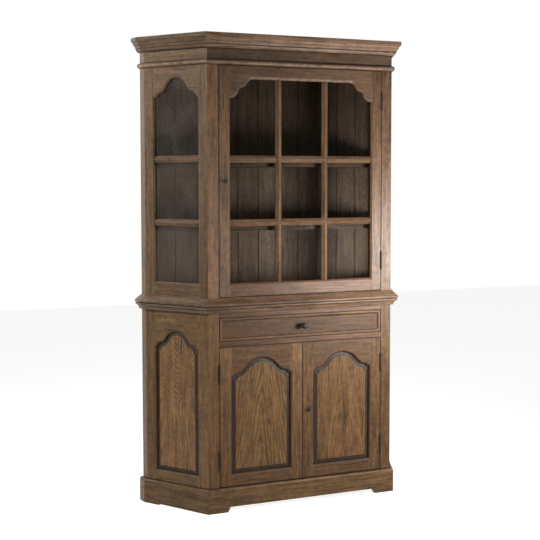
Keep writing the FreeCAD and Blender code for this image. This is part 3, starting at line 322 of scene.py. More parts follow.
@dataclass(frozen=True)
class Ticks:
    """A row of short upright tool marks: where it starts and ends, its heights and its pitch."""

    start: float
    end: float
    low: float
    high: float
    pitch: float = 0.0125
    ragged: float = 0.12
    end_fade: float = 0.02
    low_fade: float = 0.012
    high_fade: float = 0.015
    depth: Ramp = Ramp(0.1, 0.8, 0.0, 0.6)

    def mask(self, graph: ShaderGraph, face: FacePlace, mottle: Socket) -> Socket:
        """Upright marks: a narrow wave along the face inside a patch with ragged ends."""
        wave = graph.math("SINE", graph.times(face.along, math.tau / self.pitch))
        ragged = graph.fused(graph.minus(mottle, HALF), self.ragged, face.along)
        patch = graph.math("LESS_THAN", face.side, 0.0)
        for value, edge, fade in (
            (ragged, self.start, self.end_fade),
            (ragged, self.end, -self.end_fade),
            (face.height, self.low, self.low_fade),
            (face.height, self.high, -self.high_fade),
        ):
            patch = graph.times(patch, graph.span(value, Ramp(edge, edge + fade)))
        return graph.times(graph.span(wave, self.depth), patch)


@dataclass(frozen=True)
class Figure:
    """Cathedral figure of a flat-sawn board.

    Attributes:
        centre: place of its middle along the face.
        tip: height over which the lines nest with their points down.
        pitch: height from one nested line to the next.
        flames: growth lines in a flame.
        flame_width: width of a flame.
        flame_height: height of a flame.
        climb: growth lines per metre upwards.
        spread: growth lines per metre away from the middle, which makes nested peaks.
        strength: share of the figure in the grain.
        fold_height: height over which the flames calm down above the tip.
        calm: share of the flames that goes there.
        blunt: square of the half width of a peak's rounded point.
        board_shift: how far the pattern moves from board to board.
        waver: pace of the small waves, across and upwards.
        waver_share: how far the small waves push the lines.
        humps: noise of the flames.
        small: noise of the small waves.
        line_ramp: how much of a line's width is dark.
    """

    centre: float = 0.0
    tip: float = 9.0
    pitch: float = 0.026
    flames: float = 7.0
    flame_width: float = 0.060
    flame_height: float = 0.42
    climb: float = 0.0
    spread: float = 0.0
    strength: float = 0.7
    fold_height: float = 0.20
    calm: float = 0.6
    blunt: float = 0.00004
    board_shift: float = 3.1
    waver: Pair = (90.0, 12.0)
    waver_share: float = 0.55
    humps: Noise = Noise(1.0, 2.0, 0.45, 0.15)
    small: Noise = Noise(1.0, 2.0)
    line_ramp: Ramp = Ramp(-0.5, 1.0)

    def lines(self, graph: ShaderGraph, offset: Socket, board: Socket, height: Socket, seed: float) -> Socket:
        """Growth lines: the sine of a field of humps and peaks that turns over above the tip."""
        across = graph.math("DIVIDE", offset, self.flame_width)
        upward = graph.math("DIVIDE", height, self.flame_height)
        shifted = graph.fused(board, self.board_shift, seed)
        humps = graph.noise(graph.combine(across, shifted, upward), self.humps)
        pace = [graph.times(value, rate) for value, rate in zip((offset, height), self.waver)]
        small = graph.noise(graph.combine(pace[0], seed, pace[1]), self.small)
        fold = graph.span(height, Ramp(self.tip, self.tip + self.fold_height))
        swing = graph.fused(fold, -self.calm * self.flames, self.flames)
        waves = graph.fused(humps, swing, graph.times(small, self.waver_share))
        rounded = graph.math("SQRT", graph.fused(offset, offset, self.blunt))
        waves = graph.plus(waves, graph.fused(rounded, self.spread, graph.times(height, self.climb)))
        over = graph.larger(graph.minus(height, self.tip), 0.0)
        phase = graph.fused(over, -1.0 / self.pitch, waves)
        return graph.span(graph.math("SINE", graph.times(phase, math.tau)), self.line_ramp)


@dataclass(frozen=True)
class OakPattern:
    """Noises, steps and shares that every oak board has in common."""

    luck_shift: float = 7.3
    line_stretch: float = 20.0
    bands: Noise = Noise(6.5, 5.0, 0.66, 0.3)
    band_ramp: Ramp = Ramp(0.2, 0.8)
    fibres: Noise = Noise(24.0, 3.0, 0.62)
    fibre_share: float = 1.1
    mottle: Noise = Noise(7.0, 4.0, 0.6, 0.4)
    streak_stretch: float = 9.0
    streaks: Noise = Noise(5.0, 3.0, 0.55, 0.6)
    blotches: Noise = Noise(38.0, 4.0, 0.7, 0.5)
    blotch_share: float = 0.8
    # Stretch of the front over which the painted light of the right end comes in.
    front_ends: Ramp = Ramp(-0.43, 0.43)
    hues: Noise = Noise(2.6, 3.0, 0.55, 0.5)
    hue_ramp: Ramp = Ramp(0.34, 0.66)
    warm: Colour = (1.03, 0.985, 1.0)
    olive: Colour = (0.97, 1.0, 0.93)
    luck_tone: float = 0.16
    base_tone: float = 0.86
    mottle_tone: float = 0.22
    film: Noise = Noise(3.7, 5.0, 0.68, 0.7)
    film_ramp: Ramp = Ramp(0.40, 0.70)
    pore_stretch: Triple = (30.0, 30.0, 1.0)
    pores: Noise = Noise(21.0, 2.0)
    pore_ramp: Ramp = Ramp(0.37, 0.30, 0.0, 0.35)
    cracks: Noise = Noise(4.2, 4.0, 0.68)
    pale_cracks: Ramp = Ramp(0.58, 0.70, 0.0, 0.45)
    dark_cracks: Ramp = Ramp(0.42, 0.30, 0.0, 0.6)
    specks: Noise = Noise(85.0, 2.0)
    speck_ramp: Ramp = Ramp(0.27, 0.22, 0.0, 0.6)
    edge_radius: float = 0.0026
    hollow_reach: float = 0.011
    sharp: Ramp = Ramp(0.985, 0.80)
    open_air: Ramp = Ramp(0.14, 0.05)
    worn_patches: Ramp = Ramp(0.3, 0.6, 0.35, 1.0)
    strip_fade: float = 0.004
    strip_patches: Ramp = Ramp(0.35, 0.65, 0.2, 0.9)
    joint_reach: float = 0.0035
    joint_half: float = 0.0012
    joint_share: float = 0.9
    grain_roughness: float = 0.12
    glaze_roughness: float = 0.15
    fibre_relief: float = -0.6
    grain_relief: float = -0.4
    relief_strength: float = 0.4
    relief_depth: float = 0.0008


OAK = OakPattern()


@dataclass(frozen=True)
class OakFinish:
    """Stained and worn oak.

    Attributes:
        name: the material's name.
        run: direction of the fibres.
        pale: colour of the light wood.
        deep: colour of the dark growth lines.
        seed: shifts the pattern, so that no two boards are alike.
        dust_share: share of weathered film on the wood.
        figure: cathedral figure, if the board has one.
        ticks: row of tool marks, if the board has one.
        upright_strip: place and half width of an upright part of a level piece.
        smoked: painted light and shade, a tone that goes from one height to another, on the front or on a whole row
            of boards.
        rubbed_levels: painted highlights, long light strips in the worn colour: height, half width and reach from the
            middle.
        glaze: glaze in the recesses.
        board_pitch: width of one board of a row, or 0 for one board on each side.
        board_start: place of one of the row's joints.
        contrast: strength of the grain.
        mottling: strength of the streaks and blotches.
        right_tone: painted light, the tone of the front's right end beside its left end.
        shine: level of the highlights.
        roughness: base roughness.
        front_tint: factor on the colour of the front, which also paints the light and shade that fall on it.
        cant_tint: factor on the colour of the canted faces, which also paints the light and shade that fall on them.
        wear: share of the worn colour on sharp edges, which are rubbed and also carry a painted highlight.
        worn: colour of worn edges, also used for the painted highlights.
        dust: colour of the weathered film.
        glaze_colour: the dark colour of glaze and painted shade, also of pores, specks and dark cracks.
    """

    name: str
    run: GrainRun
    pale: Colour
    deep: Colour
    seed: float
    dust_share: float = 0.3
    figure: Figure | None = None
    ticks: Ticks | None = None
    upright_strip: Pair | None = None
    smoked: Ramp | None = None
    rubbed_levels: Bands = ()
    glaze: Glaze = Glaze()
    board_pitch: float = 0.0
    board_start: float = 0.0
    contrast: float = 1.35
    mottling: float = 1.7
    right_tone: float = 1.0
    shine: float = 0.21
    roughness: float = 0.34
    front_tint: Colour = (0.94, 0.86, 0.77)
    cant_tint: Colour = (0.96, 0.95, 0.86)
    wear: float = 0.75
    worn: Colour = (0.320, 0.205, 0.145)
    dust: Colour = (0.205, 0.142, 0.100)
    glaze_colour: Colour = (0.016, 0.011, 0.008)

    def make(self) -> bpy.types.Material:
        """Builds the material.

        The grain is noise that is stretched along the fibres. The figure is drawn by lines of
        equal height in a slow field: long humps make flames, and a ridge makes nested peaks.

        Returns:
            The finished material.
        """
        graph = ShaderGraph(self.name)
        face = graph.face_place()
        x, y, z = graph.place()
        signed = graph.times(face.along, face.side)
        fibre, across, third, board = signed, face.height, face.out, graph.times(face.side, face.canted)
        if self.run is GrainRun.UPRIGHT:
            fibre, across, board = face.height, signed, face.side
        elif self.run is GrainRun.ACROSS:
            fibre, across, third = x, y, z
        if self.upright_strip is not None:
            middle, half_width = self.upright_strip
            within = graph.math("LESS_THAN", graph.gap(face.along, middle), half_width)
            fibre, across = graph.choose(within, signed, face.height), graph.choose(within, face.height, signed)
        row = self.board_place(graph, x) if self.board_pitch > 0 else None
        if row is not None:
            board = graph.math("FLOOR", row)
        luck = graph.chance(graph.plus(board, self.seed))
        fibre = graph.plus(fibre, graph.fused(luck, OAK.luck_shift, self.seed))
        near = graph.combine(across, third, fibre)
        mottle = graph.noise(near, OAK.mottle)
        blotch = graph.noise(near, OAK.blotches)
        lines = self.stretched(graph, across, third, fibre, OAK.line_stretch)
        streaks = self.stretched(graph, across, third, fibre, OAK.streak_stretch)
        fibres = graph.noise(lines, OAK.fibres)
        bands = graph.patches(lines, OAK.bands, OAK.band_ramp)
        depth = graph.fused(graph.minus(fibres, HALF), OAK.fibre_share, bands)
        if self.figure is not None:
            offset = graph.minus(face.along, self.figure.centre)
            if row is not None:
                offset = graph.times(graph.minus(graph.math("FRACT", row), HALF), self.board_pitch)
            flames = self.figure.lines(graph, offset, board, face.height, self.seed)
            share = self.figure.strength
            depth = graph.plus(graph.times(depth, 1 - share), graph.times(flames, share))
        grain = graph.fused(graph.minus(depth, HALF), self.contrast, HALF)
        grain = graph.math("MINIMUM", graph.larger(grain, 0.0), 1.0)
        colour = self.patched(graph, graph.blend(grain, self.pale, self.deep), near, luck, mottle)
        turned = graph.larger(face.canted, face.behind)
        front = graph.minus(1.0, turned)
        uneven = graph.times(graph.minus(graph.noise(streaks, OAK.streaks), HALF), self.mottling)
        uneven = graph.fused(graph.minus(blotch, HALF), OAK.blotch_share * self.mottling, uneven)
        # Painted light: the front grows lighter or darker from its left end to its right end.
        right = graph.times(graph.span(signed, OAK.front_ends), front)
        uneven = graph.plus(uneven, graph.fused(right, self.right_tone - 1.0, 1.0))
        colour = graph.toned(colour, uneven)
        # Painted light and shade that change with height.
        if self.smoked is not None:
            shade = graph.minus(graph.span(face.height, self.smoked), 1.0)
            colour = graph.toned(colour, graph.fused(shade, front if row is None else 1.0, 1.0))
        # Tint of the front and of the canted faces: colour, and also painted light and shade for how the light falls
        # on each face.
        colour = graph.tinted(colour, graph.blend(turned, self.front_tint, self.cant_tint))
        edge = graph.node("ShaderNodeBevel", samples=SHADING_SAMPLES)
        edge.inputs["Radius"].default_value = OAK.edge_radius
        hollow = self.hollow(graph)
        # Sharp edges take the worn colour: rubbed edges, together with a painted highlight.
        colour = graph.blend(self.rubbed(graph, edge, hollow, mottle), colour, self.worn)
        # Painted highlights: light strips along given heights, in the worn colour.
        for level, half_width, reach in self.rubbed_levels:
            near_middle = graph.span(face.along, Ramp(reach, reach - OAK.strip_fade))
            strip = graph.times(graph.line(face.height, level, half_width), near_middle)
            colour = graph.blend(graph.times(strip, graph.span(blotch, OAK.strip_patches)), colour, self.worn)
        # Darkening in recesses, corners and gaps: glaze together with painted shade.
        mask = self.glaze.mask(graph, face, mottle, hollow)
        if row is not None:
            mask = graph.larger(mask, self.joint_lines(graph, row))
        if self.ticks is not None:
            mask = graph.larger(mask, self.ticks.mask(graph, face, mottle))
        return self.finished(graph, graph.blend(mask, colour, self.glaze_colour), grain, fibres, mask, edge)

    def stretched(
        self, graph: ShaderGraph, across: Socket, third: Socket, fibre: Socket, stretch: float
    ) -> Socket:
        """The place on a board, squeezed across the fibres."""
        return graph.combine(graph.times(across, stretch), graph.times(third, stretch), fibre)

    def hollow(self, graph: ShaderGraph) -> Socket:
        """How closed in a point is: 0 on an open face, 1 deep in a corner or a gap."""
        shade = graph.node("ShaderNodeAmbientOcclusion", samples=SHADING_SAMPLES)
        shade.inputs["Distance"].default_value = OAK.hollow_reach
        return graph.minus(1.0, shade.outputs["AO"])

    def rubbed(self, graph: ShaderGraph, edge: bpy.types.Node, hollow: Socket, mottle: Socket) -> Socket:
        """Share of the worn colour on sharp outer edges, where a rounded normal leaves the true one: rubbed edges,
        together with a painted highlight.
        """
        true = graph.node("ShaderNodeNewGeometry")
        turn = graph.node("ShaderNodeVectorMath", operation="DOT_PRODUCT")
        graph.feed_all(turn, (edge.outputs[0], true.outputs["Normal"]))
        worn = graph.times(graph.span(turn.outputs["Value"], OAK.sharp), graph.span(hollow, OAK.open_air))
        return graph.times(graph.times(worn, graph.span(mottle, OAK.worn_patches)), self.wear)

    def patched(
        self, graph: ShaderGraph, colour: Socket, near: Socket, luck: Socket, mottle: Socket
    ) -> Socket:
        """Adds warm and olive patches, the tone of the board, film, cracks, pores and specks."""
        hue = graph.patches(near, OAK.hues, OAK.hue_ramp)
        colour = graph.tinted(colour, graph.blend(hue, OAK.warm, OAK.olive))
        tone = graph.fused(graph.minus(luck, HALF), OAK.luck_tone, OAK.base_tone)
        colour = graph.toned(colour, graph.fused(mottle, OAK.mottle_tone, tone))
        film = graph.patches(near, OAK.film, OAK.film_ramp)
        colour = graph.blend(graph.times(film, self.dust_share), colour, self.dust)
        long = graph.node("ShaderNodeMapping")
        long.inputs["Scale"].default_value = OAK.pore_stretch
        graph.feed(long.inputs["Vector"], near)
        cracks = graph.noise(long.outputs[0], OAK.cracks)
        pale = graph.times(graph.span(cracks, OAK.pale_cracks), self.mottling)
        colour = graph.blend(pale, colour, self.dust)
        pores = graph.patches(long.outputs[0], OAK.pores, OAK.pore_ramp)
        specks = graph.patches(near, OAK.specks, OAK.speck_ramp)
        dark = graph.times(graph.span(cracks, OAK.dark_cracks), self.mottling)
        return graph.blend(graph.larger(graph.larger(pores, specks), dark), colour, self.glaze_colour)

    def board_place(self, graph: ShaderGraph, x: Socket) -> Socket:
        """Place across a row of boards, counted in boards."""
        return graph.math("DIVIDE", graph.minus(x, self.board_start), self.board_pitch)

    def joint_lines(self, graph: ShaderGraph, row: Socket) -> Socket:
        """Dark lines where two boards of a row meet."""
        start, end = (HALF - reach / self.board_pitch for reach in (OAK.joint_reach, OAK.joint_half))
        return graph.span(graph.gap(graph.math("FRACT", row), HALF), Ramp(start, end, 0.0, OAK.joint_share))

    def finished(
        self, graph: ShaderGraph, colour: Socket, grain: Socket, fibres: Socket, mask: Socket, edge: bpy.types.Node
    ) -> bpy.types.Material:
        """Joins colour, roughness and relief to the surface shader and gives the material."""
        shader = graph.node("ShaderNodeBsdfPrincipled")
        graph.feed(shader.inputs["Base Color"], colour)
        shader.inputs["Specular IOR Level"].default_value = self.shine
        rough = graph.fused(grain, OAK.grain_roughness, self.roughness)
        graph.feed(shader.inputs["Roughness"], graph.fused(mask, OAK.glaze_roughness, rough))
        relief = graph.fused(fibres, OAK.fibre_relief, graph.times(grain, OAK.grain_relief))
        bump = graph.bump(relief, OAK.relief_strength, OAK.relief_depth)
        graph.feed(bump.inputs["Normal"], edge.outputs[0])
        graph.feed(shader.inputs["Normal"], bump.outputs[0])
        return graph.surface(shader)


@dataclass(frozen=True)
class GlassFinish:
    """Old cabinet glass: clear, with a faint film and a gloss that grows at a low angle.

    The veil is the share of the film, whose smears are longer upwards. The ripples bend the gloss.
    """

    name: str
    veil: float = 0.002
    veil_colour: Colour = (0.42, 0.35, 0.29)
    gloss: float = 0.006
    clear: Colour = (0.95, 0.95, 0.93)
    gloss_roughness: float = 0.03
    refraction: float = 1.45
    smear_run: float = 2.2
    smears: Noise = Noise(7.0, 4.0, 0.6, 0.4)
    smear_ramp: Ramp = Ramp(0.3, 0.75, 0.5, 1.5)
    ripples: Noise = Noise(6.0, 1.0, 0.4)
    ripple_strength: float = 0.08
    ripple_depth: float = 0.002

    def make(self) -> bpy.types.Material:
        """Builds the material: light passes straight through, less the film and the gloss.

        Returns:
            The finished material.
        """
        graph = ShaderGraph(self.name)
        x, y, z = graph.place()
        clear = graph.node("ShaderNodeBsdfTransparent")
        clear.inputs["Color"].default_value = (*self.clear, 1.0)
        film = graph.node("ShaderNodeBsdfDiffuse")
        film.inputs["Color"].default_value = (*self.veil_colour, 1.0)
        smear = graph.noise(graph.combine(graph.times(x, self.smear_run), y, z), self.smears)
        share = graph.times(graph.span(smear, self.smear_ramp), self.veil)
        filmed = graph.node("ShaderNodeMixShader")
        graph.feed_all(filmed, (share, clear.outputs[0], film.outputs[0]))
        gloss = graph.node("ShaderNodeBsdfGlossy")
        gloss.inputs["Color"].default_value = (self.gloss, self.gloss, self.gloss, 1.0)
        gloss.inputs["Roughness"].default_value = self.gloss_roughness
        uneven = graph.noise(graph.combine(x, y, z), self.ripples)
        ripple = graph.bump(uneven, self.ripple_strength, self.ripple_depth)
        graph.feed(gloss.inputs["Normal"], ripple.outputs[0])
        facing = graph.node("ShaderNodeFresnel")
        facing.inputs["IOR"].default_value = self.refraction
        side = graph.node("ShaderNodeNewGeometry")
        outer = graph.minus(1.0, side.outputs["Backfacing"])
        surface = graph.node("ShaderNodeMixShader")
        graph.feed_all(surface, (graph.times(facing.outputs[0], outer), filmed.outputs[0], gloss.outputs[0]))
        return graph.surface(surface)


@dataclass(frozen=True)
class MetalFinish:
    """Dark iron or dull steel: a dark skin, rubbed bright where hands and tools touch it.

    The skin ramp says where patches are rubbed through, and the edges ramp from what sharpness
    an edge is bright. The pits stay dark.
    """

    name: str
    dark: Colour
    bright: Colour
    rubbed: float = 0.5
    roughness: float = 0.5
    metal: float = 0.35
    shine: float = 0.3
    smoothing: float = 0.18
    skin: Noise = Noise(90.0, 4.0, 0.6)
    skin_ramp: Ramp = Ramp(0.42, 0.68)
    edges: Ramp = Ramp(0.51, 0.58)
    edge_share: float = 0.6
    pits: Noise = Noise(520.0, 2.0, 0.6)
    pit_ramp: Ramp = Ramp(0.38, 0.3)
    relief_strength: float = 0.25
    relief_depth: float = 0.0003

    def make(self) -> bpy.types.Material:
        """Builds the material: patches of skin over rubbed metal, with fine pits.

        Returns:
            The finished material.
        """
        graph = ShaderGraph(self.name)
        spot = graph.combine(*graph.place())
        patches = graph.noise(spot, self.skin)
        pits = graph.noise(spot, self.pits)
        corner = graph.node("ShaderNodeNewGeometry")
        edge = graph.times(graph.span(corner.outputs["Pointiness"], self.edges), self.edge_share)
        worn = graph.plus(graph.times(graph.span(patches, self.skin_ramp), self.rubbed), edge)
        worn = graph.math("MINIMUM", worn, 1.0)
        tone = graph.blend(worn, self.dark, self.bright)
        tone = graph.blend(graph.span(pits, self.pit_ramp), tone, self.dark)
        shader = graph.node("ShaderNodeBsdfPrincipled")
        graph.feed(shader.inputs["Base Color"], tone)
        shader.inputs["Metallic"].default_value = self.metal
        shader.inputs["Specular IOR Level"].default_value = self.shine
        graph.feed(shader.inputs["Roughness"], graph.fused(worn, -self.smoothing, self.roughness))
        bump = graph.bump(graph.plus(pits, patches), self.relief_strength, self.relief_depth)
        graph.feed(shader.inputs["Normal"], bump.outputs[0])
        return graph.surface(shader)


@dataclass(frozen=True)
class Dressing:
    """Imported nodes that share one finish, under the title that the log gives them."""

    title: str
    finish: OakFinish | GlassFinish | MetalFinish
    nodes: tuple[str, ...]

    def build(self) -> None:
        """Makes the material, dresses all of each node with it and reports them."""
        material = self.finish.make()
        for node in self.nodes:
            for slot in bpy.data.objects[node].material_slots:
                slot.material = material
        LOG.info("%s: %d nodes dressed", self.title, len(self.nodes))


@dataclass(frozen=True)
class Camera:
    """The photograph's viewpoint: its place, its turns in degrees and its lens in millimetres."""

    place: Triple = (-2.81213, -5.44899, 1.55507)
    yaw: float = 26.5857
    pitch: float = -4.2308
    roll: float = -0.0747
    lens: float = 84.523
    sensor: float = 36.0

    def build(self) -> None:
        """Sets up the camera."""
        yaw, pitch, roll = (math.radians(angle) for angle in (self.yaw, self.pitch, self.roll))
        forward = Vector((math.sin(yaw) * math.cos(pitch), math.cos(yaw) * math.cos(pitch), math.sin(pitch)))
        level = Vector((math.cos(yaw), -math.sin(yaw), 0.0))
        upward = level.cross(forward)
        right = level * math.cos(roll) + upward * math.sin(roll)
        upright = upward * math.cos(roll) - level * math.sin(roll)
        data = bpy.data.cameras.new("photo_camera")
        data.lens = self.lens
        data.sensor_width = self.sensor
        camera = bpy.data.objects.new("photo_camera", data)
        turned = Matrix((right, upright, -forward)).transposed().to_4x4()
        camera.matrix_world = Matrix.Translation(Vector(self.place)) @ turned
        bpy.context.scene.collection.objects.link(camera)
        bpy.context.scene.camera = camera
        LOG.info("camera placed")


@dataclass(frozen=True)
class Lamp:
    """A soft rectangular lamp: its place, face, watts, the point it faces and its angle in degrees."""

    name: str
    place: Triple
    size: Pair
    power: float
    aim: Triple
    spread: float = 180.0

    def build(self) -> None:
        """Hangs the lamp, unseen by the camera itself."""
        data = bpy.data.lights.new(self.name, "AREA")
        data.shape = "RECTANGLE"
        data.size, data.size_y = self.size
        data.energy = self.power
        data.spread = math.radians(self.spread)
        lamp = bpy.data.objects.new(self.name, data)
        lamp.location = self.place
        lamp.rotation_euler = (Vector(self.aim) - Vector(self.place)).to_track_quat("-Z", "Y").to_euler()
        lamp.visible_camera = False
        bpy.context.scene.collection.objects.link(lamp)


@dataclass(frozen=True)
class Studio:
    """Pale floor, white surroundings and soft lamps."""

    floor_half: float = 9.0
    floor_grey: float = 0.60
    floor_glow: float = 0.90
    room_level: float = 0.04
    white_level: float = 1.0
    lamps: tuple[Lamp, ...] = (
        Lamp("key_lamp", (1.05, -1.35, 1.10), (0.7, 0.4), 27.5, (0.45, -0.1, 1.15), 140.0),
        Lamp("side_lamp", (-3.2, -0.6, 2.7), (1.4, 1.4), 60.0, (-0.5, 0.0, 1.2)),
        Lamp("rim_lamp", (-2.2, 1.7, 1.9), (0.8, 1.6), 25.0, (-0.66, 0.2, 1.2)),
    )

    def build(self) -> None:
        """Makes the floor, the surroundings and the lamps."""
        bpy.context.scene.view_settings.view_transform = "Standard"
        self.make_floor()
        self.make_room()
        for lamp in self.lamps:
            lamp.build()
        LOG.info("studio lit")

    def seen(self, tree: bpy.types.NodeTree) -> Socket:
        """1 for a ray from the camera, off a shiny surface or through glass, and 0 otherwise."""
        path = tree.nodes.new("ShaderNodeLightPath")
        total = path.outputs["Is Camera Ray"]
        for name in ("Is Glossy Ray", "Is Transmission Ray"):
            added = tree.nodes.new("ShaderNodeMath")
            added.operation = "ADD"
            added.use_clamp = True
            tree.links.new(total, added.inputs[0])
            tree.links.new(path.outputs[name], added.inputs[1])
            total = added.outputs[0]
        return total

    def make_floor(self) -> None:
        """A wide pale floor that shows white and keeps the cabinet's shadow."""
        half = self.floor_half
        mesh = bpy.data.meshes.new("studio_floor")
        mesh.from_pydata([(-half, -half, 0), (half, -half, 0), (half, half, 0), (-half, half, 0)], [], [(0, 1, 2, 3)])
        floor = bpy.data.objects.new("studio_floor", mesh)
        bpy.context.scene.collection.objects.link(floor)
        graph = ShaderGraph("studio_floor")
        paint = graph.node("ShaderNodeBsdfDiffuse")
        paint.inputs["Color"].default_value = (self.floor_grey, self.floor_grey, self.floor_grey, 1.0)
        glow = graph.node("ShaderNodeEmission")
        graph.feed(glow.inputs["Strength"], graph.times(self.seen(graph.tree), self.floor_glow))
        both = graph.node("ShaderNodeAddShader")
        graph.feed_all(both, (paint.outputs[0], glow.outputs[0]))
        mesh.materials.append(graph.surface(both))

    def make_room(self) -> None:
        """Even surroundings, white where the camera or a reflection looks at them."""
        world = bpy.data.worlds.new("studio_room")
        bpy.context.scene.world = world
        world.use_nodes = True
        tree = world.node_tree
        tree.nodes.clear()
        output = tree.nodes.new("ShaderNodeOutputWorld")
        choice = tree.nodes.new("ShaderNodeMixShader")
        tree.links.new(self.seen(tree), choice.inputs[0])
        for place, strength in ((1, self.room_level), (2, self.white_level)):
            background = tree.nodes.new("ShaderNodeBackground")
            background.inputs["Color"].default_value = (1.0, 1.0, 1.0, 1.0)
            background.inputs["Strength"].default_value = strength
            tree.links.new(background.outputs[0], choice.inputs[place])
        tree.links.new(choice.outputs[0], output.inputs["Surface"])


@dataclass(frozen=True)
class OakTones:
    """Colours of the stained oak, worked out from the whole cabinet."""

    low_pale: Colour = (0.186, 0.108, 0.048)
    low_deep: Colour = (0.100, 0.050, 0.020)
    low_dust: Colour = (0.185, 0.118, 0.066)
    high_pale: Colour = (0.190, 0.113, 0.062)
    high_deep: Colour = (0.100, 0.056, 0.030)
    panel_deep: Colour = (0.085, 0.040, 0.014)
    inner_pale: Colour = (0.165, 0.108, 0.076)
    inner_deep: Colour = (0.060, 0.038, 0.026)
    shelf_pale: Colour = (0.085, 0.054, 0.036)
    shelf_deep: Colour = (0.040, 0.025, 0.016)
    grey_pale: Colour = (0.235, 0.155, 0.110)
    grey_deep: Colour = (0.115, 0.072, 0.049)


TONES = OakTones()


class Part(ABC):
    """A part of the cabinet, dressed group by group, with what most of its oak has in common."""

    wood: ClassVar[dict[str, object]] = {}

    @abstractmethod
    def groups(self) -> tuple[Dressing, ...]:
        """The groups of pieces, in order."""

    def oak(self, title: str, name: str, run: GrainRun, seed: float, *nodes: str, **details: object) -> Dressing:
        """A group in this part's oak, with what it has of its own."""
        return Dressing(title, OakFinish(name, run, seed=seed, **{**self.wood, **details}), nodes)

    def build(self) -> None:
        """Dresses the groups one by one."""
        for group in self.groups():
            group.build()


@dataclass(frozen=True)
class LowerCase(Part):
    """Plinth, posts, rails, canted panels, doors and drawer."""

    wood: ClassVar[dict[str, object]] = {"pale": TONES.low_pale, "deep": TONES.low_deep, "dust": TONES.low_dust}
    # Dark bands on the panels' bevels: glaze in the recesses together with painted shade.
    bevel_glaze: Bands = ((-0.0090, 0.0018, 0.95), (-0.0125, 0.0030, 1.0), (-0.0110, 0.0037, 0.92))
    # Dark bands on the stuck edges: glaze together with painted shade.
    edge_glaze: Bands = ((-0.0062, 0.0026, 1.0), (-0.0032, 0.0030, 0.55))
    # Painted shade along the gaps at the doors' sides and between the doors.
    door_side_glaze: Lines = ((0.432, 0.0040), (0.0, 0.0040))
    # Painted shade along the gaps over and under the doors.
    door_end_glaze: Lines = ((0.7695, 0.0050), (0.1150, 0.0050))
    # A dark line along the top of the plinth.
    plinth_joint_glaze: Lines = ((0.1145, 0.0025),)
    # Dark bands on the drawer's bevel: glaze together with painted shade.
    drawer_bevel_glaze: Bands = ((-0.0019, 0.0014, 0.8), (-0.0030, 0.0030, 0.45))
    # Painted shade along the gaps over and under the drawer.
    drawer_end_glaze: Lines = ((0.7960, 0.0046), (0.9040, 0.0040))
    side_figure: Figure = Figure(centre=0.682, tip=0.50, flames=4.5, climb=4.0, spread=60.0, strength=0.8)
    door_figure: Figure = Figure(centre=0.216, flames=4.5, climb=9.0, spread=70.0, strength=0.8)
    plinth_marks: Ticks = Ticks(start=0.56, end=0.71, low=0.030, high=0.100)
    # Painted light: the left door's stiles grow lighter upwards.
    stile_tone: Ramp = Ramp(0.30, 0.75, 1.05, 1.28)

    def groups(self) -> tuple[Dressing, ...]:
        """The groups of the lower case, from the plinth up."""
        upright, level = GrainRun.UPRIGHT, GrainRun.ALONG
        stuck = Glaze(bands=self.edge_glaze)
        edged = Glaze(bands=self.edge_glaze, uprights=self.door_side_glaze)
        hung = Glaze(bands=self.edge_glaze, uprights=self.door_side_glaze, levels=self.door_end_glaze)
        drawn = Glaze(bands=self.drawer_bevel_glaze, uprights=self.door_side_glaze[:1], levels=self.drawer_end_glaze)
        panel = {"glaze": Glaze(bands=self.bevel_glaze), "deep": TONES.panel_deep}
        # The tints of the front and canted faces and the tone of the front's right end give colour and also paint the
        # light and shade that fall there.
        return (
            self.oak("plinth", "plinth_oak", level, 1.7, "plinth_front", "plinth_sides", ticks=self.plinth_marks,
                     glaze=Glaze(levels=self.plinth_joint_glaze), front_tint=(1.02, 0.95, 0.86)),
            self.oak("lower posts", "lower_post_oak", upright, 4.1, "lower_front_posts",
                     glaze=edged, front_tint=(1.04, 0.97, 0.88), right_tone=0.8, cant_tint=(1.30, 1.30, 1.20)),
            self.oak("lower rear posts", "lower_rear_post_oak", upright, 5.2, "lower_rear_posts"),
            self.oak("front rails", "rail_oak", level, 6.3, "front_rails",
                     pale=TONES.high_pale, front_tint=(0.62, 0.53, 0.47), right_tone=1.65),
            self.oak("canted sills and heads", "side_rail_oak", level, 8.9, "lower_side_heads", "lower_side_sills",
                     glaze=stuck, cant_tint=(1.18, 1.18, 1.08)),
            self.oak("canted panels", "side_panel_oak", upright, 11.2, "lower_side_panels",
                     figure=self.side_figure, contrast=0.9, cant_tint=(1.56, 1.46, 1.42), **panel),
            self.oak("left door panel", "left_panel_oak", upright, 12.6, "left_door_panel",
                     figure=self.door_figure, contrast=0.9, front_tint=(1.12, 1.05, 0.90), **panel),
            self.oak("right door panel", "right_panel_oak", upright, 13.4, "right_door_panel",
                     figure=self.door_figure, contrast=0.55, front_tint=(1.05, 0.95, 0.86), **panel),
            self.oak("left door stiles", "left_stile_oak", upright, 15.3, "left_door_stiles",
                     glaze=hung, smoked=self.stile_tone),
            self.oak("right door stiles", "right_stile_oak", upright, 16.2, "right_door_stiles",
                     glaze=hung, right_tone=0.82),
            self.oak("door heads and sills", "door_rail_oak", level, 17.9, "left_door_head", "left_door_sill",
                     "right_door_head", "right_door_sill", glaze=hung, contrast=1.2, front_tint=(0.86, 0.77, 0.70)),
            self.oak("drawer front", "drawer_oak", level, 21.4, "drawer_front",
                     glaze=drawn, right_tone=1.12, front_tint=(0.93, 0.77, 0.64)),
        )


